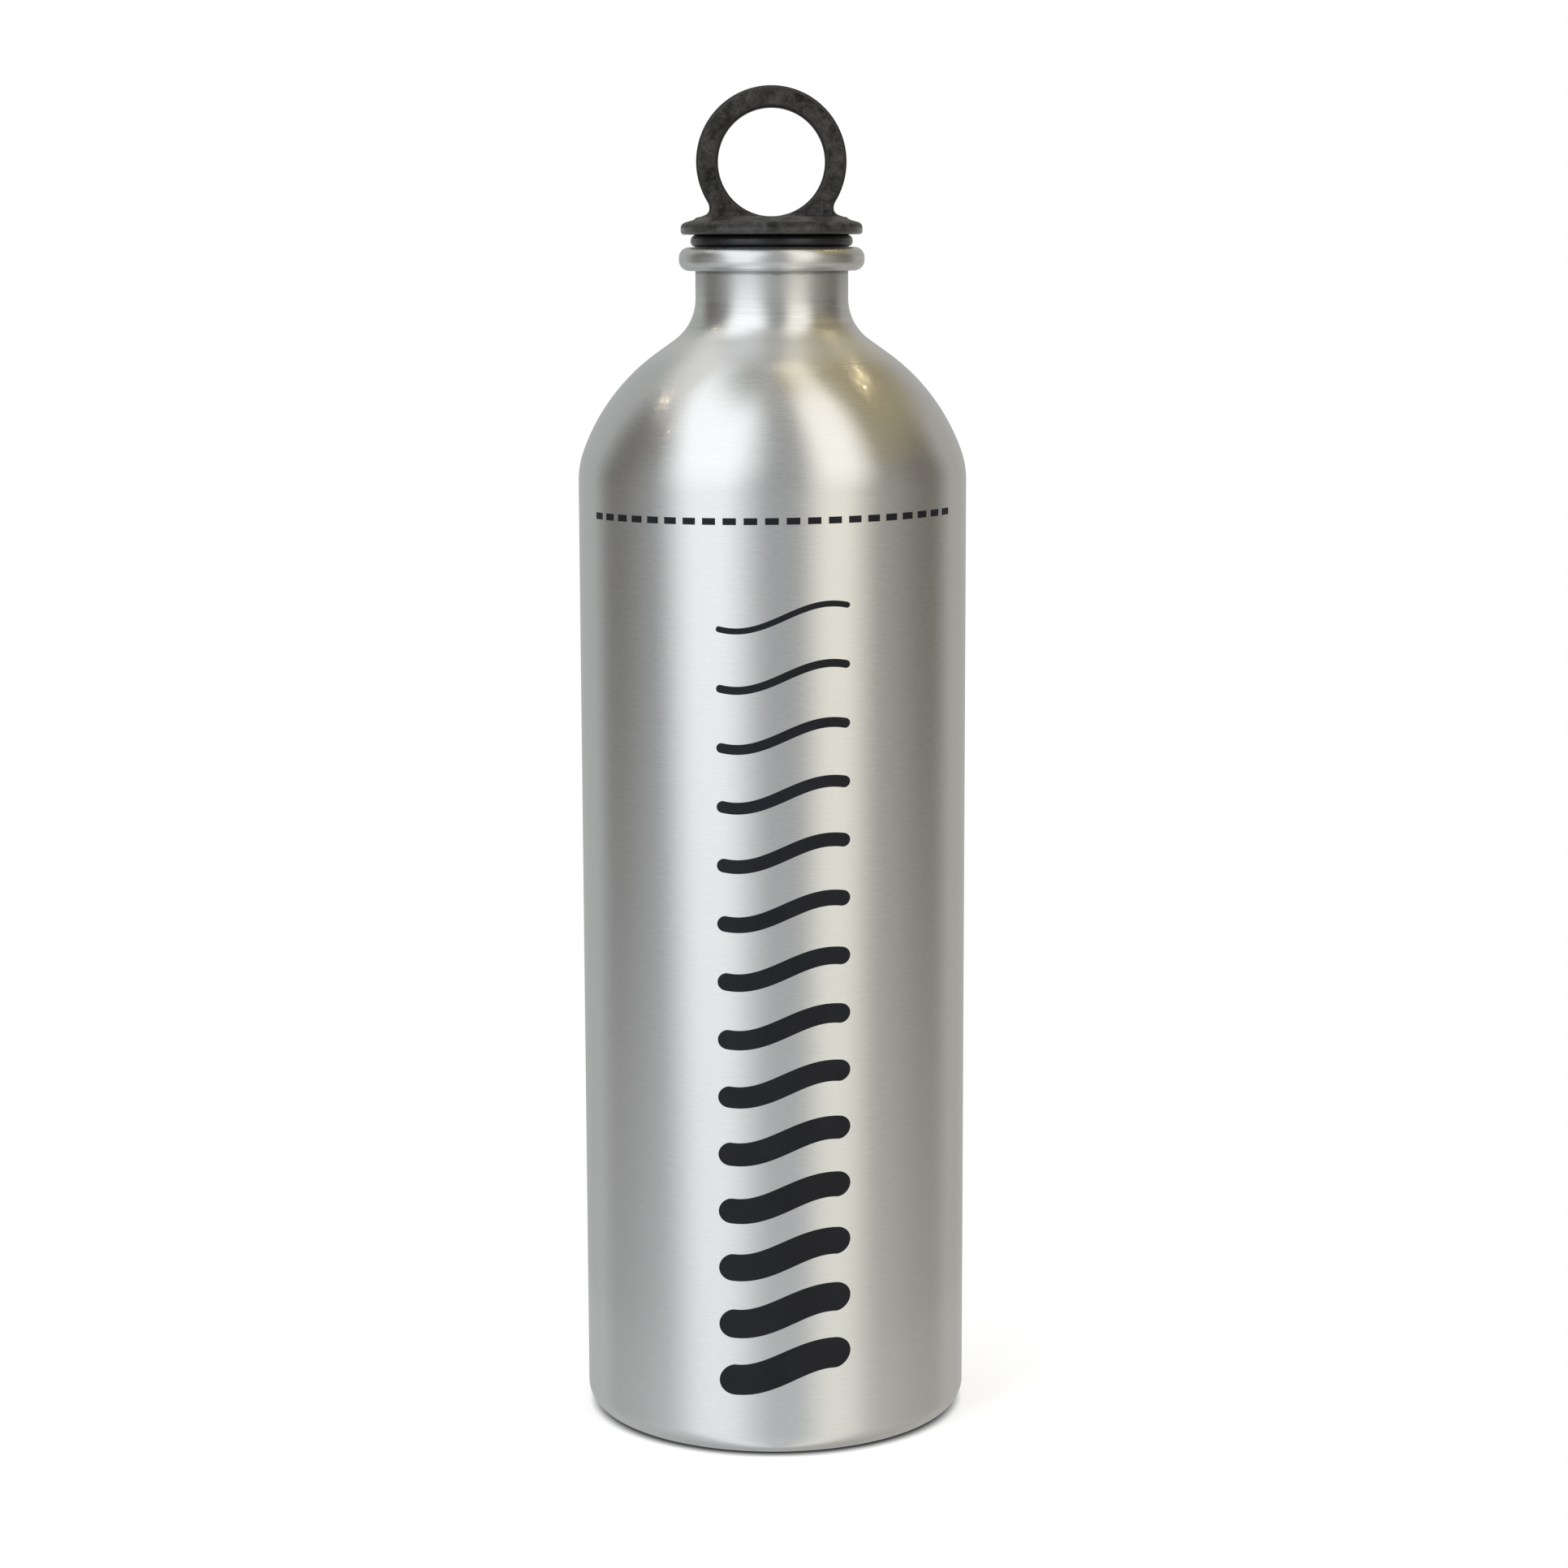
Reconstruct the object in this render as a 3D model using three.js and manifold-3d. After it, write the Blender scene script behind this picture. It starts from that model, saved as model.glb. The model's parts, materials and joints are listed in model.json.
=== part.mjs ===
// Aluminium drinking bottle with a screw-in loop cap.
// Millimetres, +Z up. The origin is the middle of the foot, and the front faces -Y.
import * as THREE from "three";
import { mergeVertices } from "three/addons/utils/BufferGeometryUtils.js";
import Module from "manifold-3d";

const wasm = await Module();
wasm.setup();

// Bottle shell: one skin of even thickness from the base to the rolled rim
const WALL = 0.9;
const BODY_RADIUS = 40;
const FOOT_INNER_RADIUS = 31;
const FOOT_CORNER = 4.5;
const BASE_DOME_RISE = 5;
const SHOULDER_START_Z = 196.5;
const SHOULDER_TIGHT_RADIUS = 18;
const SHOULDER_TIGHT_ANGLE = 20;
const SHOULDER_WIDE_RADIUS = 42;
const SHOULDER_END_ANGLE = 54.4;
const NECK_RADIUS = 15.65;
const NECK_FILLET = 10.3;
const RIM_RADIUS = 19;
const RIM_TOP_Z = 244;
const RIM_BOTTOM_Z = 239.2;
const RIM_ROUND = 1.8;
const RIM_EDGE_GAP = 0.4;

// Thread sleeve in the neck, plain at the root of its thread
const SLEEVE_BORE = 13.3;
const SLEEVE_FIT = 0.1;
const SLEEVE_TOP_Z = 243.2;
const SLEEVE_BOTTOM_Z = 228;
const SLEEVE_BARB = 0.55;
const SLEEVE_BARB_START = 3.5;
const SLEEVE_BARB_END = 1.4;
const SLEEVE_LEAD_IN = 0.6;

// Seal ring, measured up from the rim
const SEAL_INNER_RADIUS = 12.9;
const SEAL_OUTER_RADIUS = 16.6;
const SEAL_BOTTOM = 0.1;
const SEAL_TOP = 2.4;
const SEAL_ROUND = 0.9;

// Cap flange, measured up from the rim
const FLANGE_RADIUS = 18.6;
const FLANGE_BOTTOM = 2.5;
const FLANGE_LOWER_ROUND = 0.7;
const FLANGE_UPPER_ROUND = 2.2;
const FLANGE_SLOPE_ANGLE = 50;
const FLANGE_TOP_ROUND = 1.5;
const FLANGE_TOP = 6.1;

// Hollow plug under the flange, plain at the root of its thread
const PLUG_RADIUS = 12;
const PLUG_STEM_RADIUS = 12.6;
const PLUG_STEM_END = -0.8;
const PLUG_BOTTOM = -16.1;
const PLUG_HOLLOW_RADIUS = 10;
const PLUG_HOLLOW_TOP = 2.8;
const PLUG_HOLLOW_ROUND = 1.2;
const PLUG_CHAMFER = 0.6;
const DISC_SEAT_RADIUS = 10.8;
const DISC_SEAT_DEPTH = 2.3;

// Closing disc of the plug
const DISC_FIT = 0.15;
const DISC_THICKNESS = 2.15;
const DISC_DISH_RADIUS = 8.6;
const DISC_DISH_DEPTH = 0.5;
const DISC_SPIGOT_HEIGHT = 1.9;
const DISC_SPIGOT_WALL = 1.25;
const DISC_CHAMFER = 0.3;

// Carrying loop, standing on the flange
const LOOP_CENTRE = 17.1;
const LOOP_OUTER_RADIUS = 15.3;
const LOOP_HOLE_RADIUS = 10.9;
const LOOP_THICKNESS = 6;
const LOOP_EDGE_ROUND = 1;
const LOOP_SIDE_FILLET = 2.3;
const LOOP_FACE_FILLET = 1.2;

// Facets
const AROUND = 48;
const LOOP_STEPS = 36;
const HOLE_STEPS = 40;

const ALUMINIUM = new THREE.MeshStandardMaterial({ color: 0xc6c7c5, roughness: 0.35, metalness: 1 });
const SLEEVE_PLASTIC = new THREE.MeshStandardMaterial({ color: 0xd9d8d2, roughness: 0.55 });
const BLACK_PLASTIC = new THREE.MeshStandardMaterial({ color: 0x333332, roughness: 0.6 });
const BLACK_RUBBER = new THREE.MeshStandardMaterial({ color: 0x26262a, roughness: 0.7 });

const { degToRad, radToDeg } = THREE.MathUtils;

function point(r, z) {
  return new THREE.Vector2(r, z);
}

// Points on an arc about (r, z), angles in degrees: 0 is away from the axis, 90 is up.
function arc(r, z, radius, from, to, steps) {
  return Array.from({ length: steps + 1 }, (_, i) => {
    const angle = degToRad(from + ((to - from) * i) / steps);
    return point(r + radius * Math.cos(angle), z + radius * Math.sin(angle));
  });
}

// Turns a profile of (r, z) points about the Z axis.
function turned(profile) {
  return new THREE.LatheGeometry(profile, AROUND).rotateX(Math.PI / 2);
}

function closed(profile) {
  return [...profile, profile[0].clone()];
}

function solid(geometry) {
  const bare = new THREE.BufferGeometry().setAttribute("position", geometry.getAttribute("position"));
  bare.setIndex(geometry.index);
  const merged = mergeVertices(bare);
  const corners = merged.index.array;
  const kept = [];
  for (let i = 0; i < corners.length; i += 3) {
    const [a, b, c] = corners.slice(i, i + 3);
    if (a !== b && b !== c && c !== a) kept.push(a, b, c);
  }
  const vertProperties = merged.getAttribute("position").array;
  return new wasm.Manifold(new wasm.Mesh({ numProp: 3, vertProperties, triVerts: new Uint32Array(kept) }));
}

function geometryOf(made) {
  const mesh = made.getMesh();
  const geometry = new THREE.BufferGeometry();
  geometry.setAttribute("position", new THREE.BufferAttribute(mesh.vertProperties, 3));
  geometry.setIndex(new THREE.BufferAttribute(mesh.triVerts, 1));
  geometry.computeVertexNormals();
  return geometry;
}

function named(name, geometry, material) {
  const mesh = new THREE.Mesh(geometry, material);
  mesh.name = name;
  return mesh;
}

// The skin of the body from the foot corner to the top of the neck fillet, moved in by an offset.
function bodySkin(offset) {
  const end = degToRad(SHOULDER_END_ANGLE);
  const start = degToRad(SHOULDER_TIGHT_ANGLE);
  const tightR = BODY_RADIUS - SHOULDER_TIGHT_RADIUS;
  const radiusStep = SHOULDER_TIGHT_RADIUS - SHOULDER_WIDE_RADIUS;
  const wideR = tightR + radiusStep * Math.cos(start);
  const wideZ = SHOULDER_START_Z + radiusStep * Math.sin(start);
  const shoulderEndR = wideR + SHOULDER_WIDE_RADIUS * Math.cos(end);
  const shoulderEndZ = wideZ + SHOULDER_WIDE_RADIUS * Math.sin(end);
  const filletR = NECK_RADIUS + NECK_FILLET;
  const filletStartR = filletR - NECK_FILLET * Math.cos(end);
  const filletZ = shoulderEndZ + (shoulderEndR - filletStartR) / Math.tan(end) + NECK_FILLET * Math.sin(end);
  return [
    ...arc(BODY_RADIUS - FOOT_CORNER, FOOT_CORNER, FOOT_CORNER - offset, -90, 0, 4),
    ...arc(tightR, SHOULDER_START_Z, SHOULDER_TIGHT_RADIUS - offset, 0, SHOULDER_TIGHT_ANGLE, 2),
    ...arc(wideR, wideZ, SHOULDER_WIDE_RADIUS - offset, SHOULDER_TIGHT_ANGLE, SHOULDER_END_ANGLE, 5).slice(1),
    ...arc(filletR, filletZ, NECK_FILLET + offset, 180 + SHOULDER_END_ANGLE, 180, 4),
  ];
}

// The domed middle of the base from the axis to the foot ring, moved in by an offset.
function baseDome(offset) {
  const sphere = (FOOT_INNER_RADIUS ** 2 + BASE_DOME_RISE ** 2) / (2 * BASE_DOME_RISE);
  const centreZ = BASE_DOME_RISE - sphere;
  const footAngle = radToDeg(Math.asin((offset - centreZ) / (sphere + offset)));
  return arc(0, centreZ, sphere + offset, 90, footAngle, 4);
}

// The rolled rim: the skin folds out over the top, down and back under towards the neck.
function rolledRim() {
  const rollR = RIM_RADIUS - RIM_ROUND;
  const topZ = RIM_TOP_Z - RIM_ROUND;
  const bottomZ = RIM_BOTTOM_Z + RIM_ROUND;
  const inside = RIM_ROUND - WALL;
  const edgeR = NECK_RADIUS + RIM_EDGE_GAP;
  return [
    point(NECK_RADIUS, RIM_TOP_Z - WALL),
    ...arc(rollR, topZ, inside, 90, 0, 2),
    ...arc(rollR, bottomZ, inside, 0, -90, 2),
    point(edgeR, RIM_BOTTOM_Z + WALL),
    point(edgeR, RIM_BOTTOM_Z),
    ...arc(rollR, bottomZ, RIM_ROUND, -90, 0, 3),
    ...arc(rollR, topZ, RIM_ROUND, 0, 90, 3),
    ...arc(NECK_RADIUS, RIM_TOP_Z - WALL, WALL, 90, 180, 2),
  ];
}

function bottleShell() {
  const outside = [...baseDome(0), ...bodySkin(0)];
  const inside = [...baseDome(WALL), ...bodySkin(WALL)].reverse();
  return turned([...outside, ...rolledRim(), ...inside]);
}

function neckThreadInsert() {
  const outer = NECK_RADIUS - WALL - SLEEVE_FIT;
  const barb = outer + SLEEVE_BARB;
  const lead = SLEEVE_BORE + SLEEVE_LEAD_IN;
  return turned(
    closed([
      point(lead, SLEEVE_BOTTOM_Z),
      point(barb - SLEEVE_LEAD_IN, SLEEVE_BOTTOM_Z),
      point(barb, SLEEVE_BOTTOM_Z + SLEEVE_LEAD_IN),
      point(barb, SLEEVE_BOTTOM_Z + SLEEVE_BARB_END),
      point(outer, SLEEVE_BOTTOM_Z + SLEEVE_BARB_START),
      point(outer, SLEEVE_TOP_Z),
      point(lead, SLEEVE_TOP_Z),
      point(SLEEVE_BORE, SLEEVE_TOP_Z - SLEEVE_LEAD_IN),
      point(SLEEVE_BORE, SLEEVE_BOTTOM_Z + SLEEVE_LEAD_IN),
    ]),
  );
}

function sealRing() {
  const inner = SEAL_INNER_RADIUS + SEAL_ROUND;
  const outer = SEAL_OUTER_RADIUS - SEAL_ROUND;
  const low = SEAL_BOTTOM + SEAL_ROUND;
  const high = SEAL_TOP - SEAL_ROUND;
  return turned(
    closed([
      ...arc(outer, low, SEAL_ROUND, -90, 0, 2),
      ...arc(outer, high, SEAL_ROUND, 0, 90, 2),
      ...arc(inner, high, SEAL_ROUND, 90, 180, 2),
      ...arc(inner, low, SEAL_ROUND, 180, 270, 2),
    ]),
  );
}

// The turned part of the cap: hollow plug below, stem for the seal, sloping flange above.
function flangeAndPlug() {
  const wideZ = FLANGE_BOTTOM + FLANGE_LOWER_ROUND;
  const upperR = FLANGE_RADIUS - FLANGE_UPPER_ROUND;
  const slope = degToRad(FLANGE_SLOPE_ANGLE);
  const topRoundZ = FLANGE_TOP - FLANGE_TOP_ROUND;
  const slopeRise = topRoundZ - wideZ - (FLANGE_UPPER_ROUND - FLANGE_TOP_ROUND) * Math.sin(slope);
  const slopeRun = slopeRise * Math.tan(slope);
  const topRoundR = upperR + (FLANGE_UPPER_ROUND - FLANGE_TOP_ROUND) * Math.cos(slope) - slopeRun;
  const roofR = PLUG_HOLLOW_RADIUS - PLUG_HOLLOW_ROUND;
  const seatZ = PLUG_BOTTOM + DISC_SEAT_DEPTH;
  return turned([
    point(0, PLUG_HOLLOW_TOP),
    ...arc(roofR, PLUG_HOLLOW_TOP - PLUG_HOLLOW_ROUND, PLUG_HOLLOW_ROUND, 90, 0, 2),
    point(PLUG_HOLLOW_RADIUS, seatZ),
    point(DISC_SEAT_RADIUS, seatZ),
    point(DISC_SEAT_RADIUS, PLUG_BOTTOM),
    point(PLUG_RADIUS - PLUG_CHAMFER, PLUG_BOTTOM),
    point(PLUG_RADIUS, PLUG_BOTTOM + PLUG_CHAMFER),
    point(PLUG_RADIUS, PLUG_STEM_END - PLUG_CHAMFER),
    point(PLUG_STEM_RADIUS, PLUG_STEM_END),
    point(PLUG_STEM_RADIUS, FLANGE_BOTTOM),
    ...arc(FLANGE_RADIUS - FLANGE_LOWER_ROUND, wideZ, FLANGE_LOWER_ROUND, -90, 0, 2),
    ...arc(upperR, wideZ, FLANGE_UPPER_ROUND, 0, FLANGE_SLOPE_ANGLE, 3).slice(1),
    ...arc(topRoundR, topRoundZ, FLANGE_TOP_ROUND, FLANGE_SLOPE_ANGLE, 90, 2),
    point(0, FLANGE_TOP),
  ]);
}

// Stands a shape drawn in X and Z upright, with its depth centred on Y.
function upright(shape, options) {
  const geometry = new THREE.ExtrudeGeometry(shape, options).rotateX(Math.PI / 2);
  return geometry.translate(0, options.depth / 2, 0);
}

function loopHole() {
  return arc(0, LOOP_CENTRE, LOOP_HOLE_RADIUS, 360, 0, HOLE_STEPS).slice(1);
}

// Where the fillet on each side of the loop is centred, and the angle at which it meets the ring.
function sideFillet() {
  const z = FLANGE_TOP + LOOP_SIDE_FILLET;
  const drop = LOOP_CENTRE - z;
  const x = Math.sqrt((LOOP_OUTER_RADIUS + LOOP_SIDE_FILLET) ** 2 - drop ** 2);
  return { x, z, touch: radToDeg(Math.atan2(drop, x)) };
}

// The loop seen from the front: a ring whose sides flare into the top of the flange.
function carryingLoop() {
  const { x, z, touch } = sideFillet();
  const rootZ = FLANGE_BOTTOM + FLANGE_LOWER_ROUND;
  const outline = new THREE.Shape([
    point(-x, rootZ),
    point(x, rootZ),
    ...arc(x, z, LOOP_SIDE_FILLET, -90, -180 - touch, 5),
    ...arc(0, LOOP_CENTRE, LOOP_OUTER_RADIUS, -touch, 180 + touch, LOOP_STEPS).slice(1, -1),
    ...arc(-x, z, LOOP_SIDE_FILLET, touch, -90, 5),
  ]);
  outline.holes.push(new THREE.Path(loopHole()));
  return upright(outline, {
    depth: LOOP_THICKNESS - 2 * LOOP_EDGE_ROUND,
    bevelThickness: LOOP_EDGE_ROUND,
    bevelSize: LOOP_EDGE_ROUND,
    bevelOffset: -LOOP_EDGE_ROUND,
    bevelSegments: 2,
  });
}

// The foot of the loop seen from the side: it flares to the front and to the back.
function loopFoot() {
  const { x } = sideFillet();
  const rootZ = FLANGE_TOP - FLANGE_TOP_ROUND;
  const y = LOOP_THICKNESS / 2 + LOOP_FACE_FILLET;
  const z = FLANGE_TOP + LOOP_FACE_FILLET;
  const outline = new THREE.Shape([
    point(-y, rootZ),
    point(y, rootZ),
    ...arc(y, z, LOOP_FACE_FILLET, -90, -180, 3),
    ...arc(-y, z, LOOP_FACE_FILLET, 0, -90, 3),
  ]);
  const depth = 2 * (x - LOOP_SIDE_FILLET);
  return upright(outline, { depth, bevelEnabled: false }).rotateZ(Math.PI / 2);
}

// One moulding: plug, flange and loop, with the foot cleared where the hole comes down to the flange.
function screwCap() {
  const through = upright(new THREE.Shape(loopHole()), { depth: 2 * LOOP_THICKNESS, bevelEnabled: false });
  const foot = solid(loopFoot()).subtract(solid(through));
  return geometryOf(solid(flangeAndPlug()).add(foot).add(solid(carryingLoop())));
}

// A lid with a dished underside and a spigot that goes up into the plug.
function plugDisc() {
  const rim = DISC_SEAT_RADIUS - DISC_FIT;
  const spigot = PLUG_HOLLOW_RADIUS - DISC_FIT;
  const bore = spigot - DISC_SPIGOT_WALL;
  const top = PLUG_BOTTOM + DISC_THICKNESS;
  const dish = PLUG_BOTTOM + DISC_DISH_DEPTH;
  return turned([
    point(0, dish),
    point(DISC_DISH_RADIUS, dish),
    point(DISC_DISH_RADIUS + DISC_DISH_DEPTH, PLUG_BOTTOM),
    point(rim - DISC_CHAMFER, PLUG_BOTTOM),
    point(rim, PLUG_BOTTOM + DISC_CHAMFER),
    point(rim, top),
    point(spigot, top),
    point(spigot, top + DISC_SPIGOT_HEIGHT),
    point(bore, top + DISC_SPIGOT_HEIGHT),
    point(bore, top),
    point(0, top),
  ]);
}

const cap = new THREE.Group();
cap.position.z = RIM_TOP_Z;
cap.add(
  named("seal_ring", sealRing(), BLACK_RUBBER),
  named("screw_cap", screwCap(), BLACK_PLASTIC),
  named("plug_disc", plugDisc(), BLACK_PLASTIC),
);

const bottle = new THREE.Group();
bottle.add(
  named("bottle_shell", bottleShell(), ALUMINIUM),
  named("neck_thread_insert", neckThreadInsert(), SLEEVE_PLASTIC),
  cap,
);

export default bottle;
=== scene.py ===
"""Aluminium water bottle with a screw-in loop cap: the looks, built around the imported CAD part."""

import json
import math

import bmesh
import bpy
import numpy as np
from bpy.props import FloatProperty, FloatVectorProperty, IntProperty, PointerProperty
from mathutils import Matrix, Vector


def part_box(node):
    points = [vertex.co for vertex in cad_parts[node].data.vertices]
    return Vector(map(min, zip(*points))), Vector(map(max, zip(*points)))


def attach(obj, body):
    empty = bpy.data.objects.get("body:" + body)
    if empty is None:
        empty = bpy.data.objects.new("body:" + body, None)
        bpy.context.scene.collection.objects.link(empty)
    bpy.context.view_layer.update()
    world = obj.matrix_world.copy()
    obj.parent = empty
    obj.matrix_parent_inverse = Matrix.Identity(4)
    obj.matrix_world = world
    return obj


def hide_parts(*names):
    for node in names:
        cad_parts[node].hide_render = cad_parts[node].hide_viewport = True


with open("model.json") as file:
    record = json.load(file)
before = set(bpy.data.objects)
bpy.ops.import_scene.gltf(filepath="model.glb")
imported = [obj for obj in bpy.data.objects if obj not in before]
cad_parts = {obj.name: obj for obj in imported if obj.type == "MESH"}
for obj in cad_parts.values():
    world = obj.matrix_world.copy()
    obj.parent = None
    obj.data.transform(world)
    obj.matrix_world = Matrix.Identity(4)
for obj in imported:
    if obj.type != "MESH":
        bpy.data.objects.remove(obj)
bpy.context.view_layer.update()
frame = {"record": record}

bl_info = {
    "name": "Aluminium water bottle",
    "version": (1, 0, 0),
    "blender": (4, 5, 0),
    "location": "View3D > Sidebar > Bottle",
    "description": "Builds a brushed aluminium bottle with a black screw-in loop cap",
    "category": "Object",
}

MM = 0.001
SHELL_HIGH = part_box("bottle_shell")[1]
SLEEVE_LOW, SLEEVE_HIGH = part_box("neck_thread_insert")
SEAL_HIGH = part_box("seal_ring")[1]
CAP_LOW, CAP_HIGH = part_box("screw_cap")
DISC_LOW, DISC_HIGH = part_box("plug_disc")
RIM_TOP = SHELL_HIGH.z
COUPLING = frame["record"]["behaviour"]["couplings"][0]
THREAD_LEAD = COUPLING["ratio"] * 2 * math.pi
THREAD_TIP = 0.12

# How finely the shapes are drawn
ARC_STEP = 4.0
FINE_ARC_STEP = 10.0
SHOULDER_ARC_STEP = 1.5
DOME_ARC_STEP = 1.0
GUARD = 0.35 * MM
AROUND = 176
RAIL = 10 * MM
WELD = 1e-6
SHARP_EDGE = math.radians(40)
MOULD_CELL = 0.34 * MM
MOULD_SETTLES = 3
MOULD_PROBE = 0.01 * MM
MOULD_LEAST_SLOPE = 0.5
DASH_STEPS = 5
WAVE_STEPS = 72


def length(name, description, default):
    """A size in metres."""
    return FloatProperty(name=name, description=description, default=default, unit="LENGTH", precision=5)


def angle(name, description, degrees):
    """An angle, given in degrees."""
    return FloatProperty(name=name, description=description, default=math.radians(degrees), subtype="ANGLE")


def colour(name, description, default):
    """A linear colour."""
    return FloatVectorProperty(name=name, description=description, default=default, subtype="COLOR", size=3)


def share(name, description, default):
    """A number from 0 to 1."""
    return FloatProperty(name=name, description=description, default=default, min=0, max=1, subtype="FACTOR")


def watts(name, description, default):
    """The power of a lamp."""
    return FloatProperty(name=name, description=description, default=default, unit="POWER")


class BottleSizes(bpy.types.PropertyGroup):
    """Sizes of the bottle and of the sleeve in its neck."""

    print_film: length("Print film", "How far the ink stands off the metal", 0.03 * MM)
    body_radius: length("Body radius", "Outside of the straight wall with its print", SHELL_HIGH.x)
    wall: length("Wall", "Thickness of the metal", 0.9 * MM)
    foot_inner: length("Foot ring inside", "Inner radius of the flat foot ring", 31 * MM)
    foot_corner: length("Foot corner", "Rounding between the foot ring and the wall", 4.5 * MM)
    dome_rise: length("Base dome", "Rise of the domed base", 5 * MM)
    shoulder_start: length("Shoulder start", "Height where the wall begins to close in", 196.5 * MM)
    shoulder_tight: length("Shoulder, lower radius", "Tighter curve at the foot of the shoulder", 18 * MM)
    shoulder_wide: length("Shoulder, upper radius", "Wider curve above it", 42 * MM)
    tight_angle: angle("Shoulder, lower turn", "How far the tighter curve turns", 20)
    end_angle: angle("Shoulder, whole turn", "Slope where the shoulder meets the neck fillet", 54.4)
    neck_radius: length("Neck radius", "Outside of the neck", 15.65 * MM)
    neck_fillet: length("Neck fillet", "Hollow curve from the shoulder to the neck", 10.3 * MM)
    rim_radius: length("Rim radius", "Outside of the rolled rim", 19 * MM)
    rim_height: length("Rim height", "Height of the rolled rim", 4.8 * MM)
    rim_round: length("Rim rounding", "Rounding of the roll", 2.15 * MM)
    rim_gap: length("Rim edge gap", "Gap between the curled edge and the neck", 0.4 * MM)
    sleeve_bore: length("Sleeve bore", "Radius of the sleeve between its threads", 13.3 * MM)
    sleeve_fit: length("Sleeve fit", "Gap between the sleeve and the neck", 0.1 * MM)
    sleeve_barb_start: length("Barb start", "Height of the barb's upper end over the sleeve's foot", 3.5 * MM)
    sleeve_barb_end: length("Barb end", "Height of the barb's lower end over the sleeve's foot", 1.4 * MM)
    sleeve_lead_in: length("Sleeve lead-in", "Chamfer at the ends of the bore", 0.6 * MM)


class CapSizes(bpy.types.PropertyGroup):
    """Sizes of the cap, its seal and its closing disc. Heights are over the rim."""

    flange_radius: length("Flange radius", "Widest part of the cap", CAP_HIGH.x)
    flange_bottom: length("Flange underside", "Height of the flange's flat underside", 2.5 * MM)
    flange_lower_round: length("Flange lower rounding", "Rounding under the widest part", 0.7 * MM)
    flange_edge: length("Flange edge", "Height of the plain edge between its two roundings", 0.6 * MM)
    flange_upper_round: length("Flange upper rounding", "Rounding over the widest part", 1.25 * MM)
    flange_slope: angle("Flange slope", "Turn from the widest part to the sloping top", 74)
    flange_top_round: length("Flange top rounding", "Rounding from the slope to the flat top", 1.5 * MM)
    flange_top: length("Flange top", "Height of the flange's flat top", 6.1 * MM)
    plug_radius: length("Plug radius", "Core of the plug between its threads", 12 * MM)
    stem_radius: length("Stem radius", "Plain part under the flange that holds the seal", 12.6 * MM)
    stem_end: length("Stem end", "Height where the stem steps in to the plug", -0.8 * MM)
    hollow_radius: length("Hollow radius", "Inside of the hollow plug", 10 * MM)
    hollow_top: length("Hollow top", "Height of the hollow's roof", 2.8 * MM)
    hollow_round: length("Hollow rounding", "Rounding of the hollow's roof", 1.2 * MM)
    chamfer: length("Plug chamfer", "Chamfer at the plug's steps", 0.6 * MM)
    seat_radius: length("Disc seat radius", "Step that takes the closing disc", 10.8 * MM)
    seat_depth: length("Disc seat depth", "Depth of that step", 2.3 * MM)
    disc_fit: length("Disc fit", "Gap between the disc and the plug", 0.15 * MM)
    disc_thickness: length("Disc thickness", "Thickness of the disc's plate", 2.15 * MM)
    disc_dish_radius: length("Disc dish radius", "Dished middle of the disc's underside", 8.6 * MM)
    disc_dish_depth: length("Disc dish depth", "Depth of the dish", 0.5 * MM)
    disc_spigot_wall: length("Disc spigot wall", "Wall of the ring that goes up into the plug", 1.25 * MM)
    disc_chamfer: length("Disc chamfer", "Chamfer round the disc", 0.3 * MM)
    loop_centre: length("Loop centre", "Height of the middle of the carrying loop", 17.1 * MM)
    loop_hole: length("Loop hole", "Radius of the hole in the loop", 10.9 * MM)
    loop_thickness: length("Loop thickness", "Thickness of the loop from front to back", 6 * MM)
    loop_edge: length("Loop edge", "Rounding of the loop's edges", 0.9 * MM)
    loop_sink: length("Loop sink", "How far under the flat top the legs run out", 0.55 * MM)
    side_fillet: length("Loop side fillet", "Flare of the loop's legs to the sides", 2.3 * MM)
    face_fillet: length("Loop face fillet", "Flare of the loop's legs to the front and back", 1.2 * MM)
    hole_reach: length("Hole reach", "How far the hole is cleared to the front and back", 4.6 * MM)
    seal_round: length("Seal rounding", "Rounding of the seal's upper edges", 1.2 * MM)
    seal_press: length("Seal lower rounding", "Rounding of the edges that are pressed on the rim", 1.1 * MM)
    seal_nip: length("Seal nip", "Fine gap that is left over and under the seal", 0.02 * MM)
    seal_fit: length("Seal fit", "Gap between the seal and the cap's stem", 0.3 * MM)


class ThreadSizes(bpy.types.PropertyGroup):
    """Sizes of the two screw threads."""

    lead: length("Lead", "Rise in one turn", THREAD_LEAD)
    ridge: length("Ridge height", "Height of a ridge over its core", 1 * MM)
    root: length("Ridge root", "Width of a ridge at its core", 2.4 * MM)
    crest: length("Ridge crest", "Width of a ridge at its top", 1.3 * MM)
    sink: length("Ridge sink", "How far a ridge reaches into its core", 0.2 * MM)
    softness: length("Ridge rounding", "Rounding of a ridge's edges", 0.3 * MM)
    end_clear: length("End clearance", "Plain length at each end of a thread", 1.2 * MM)
    taper: FloatProperty(name="Run-out", description="Turns over which a ridge runs out", default=0.18)
    steps: IntProperty(name="Steps", description="Steps in one turn", default=96)


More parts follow.
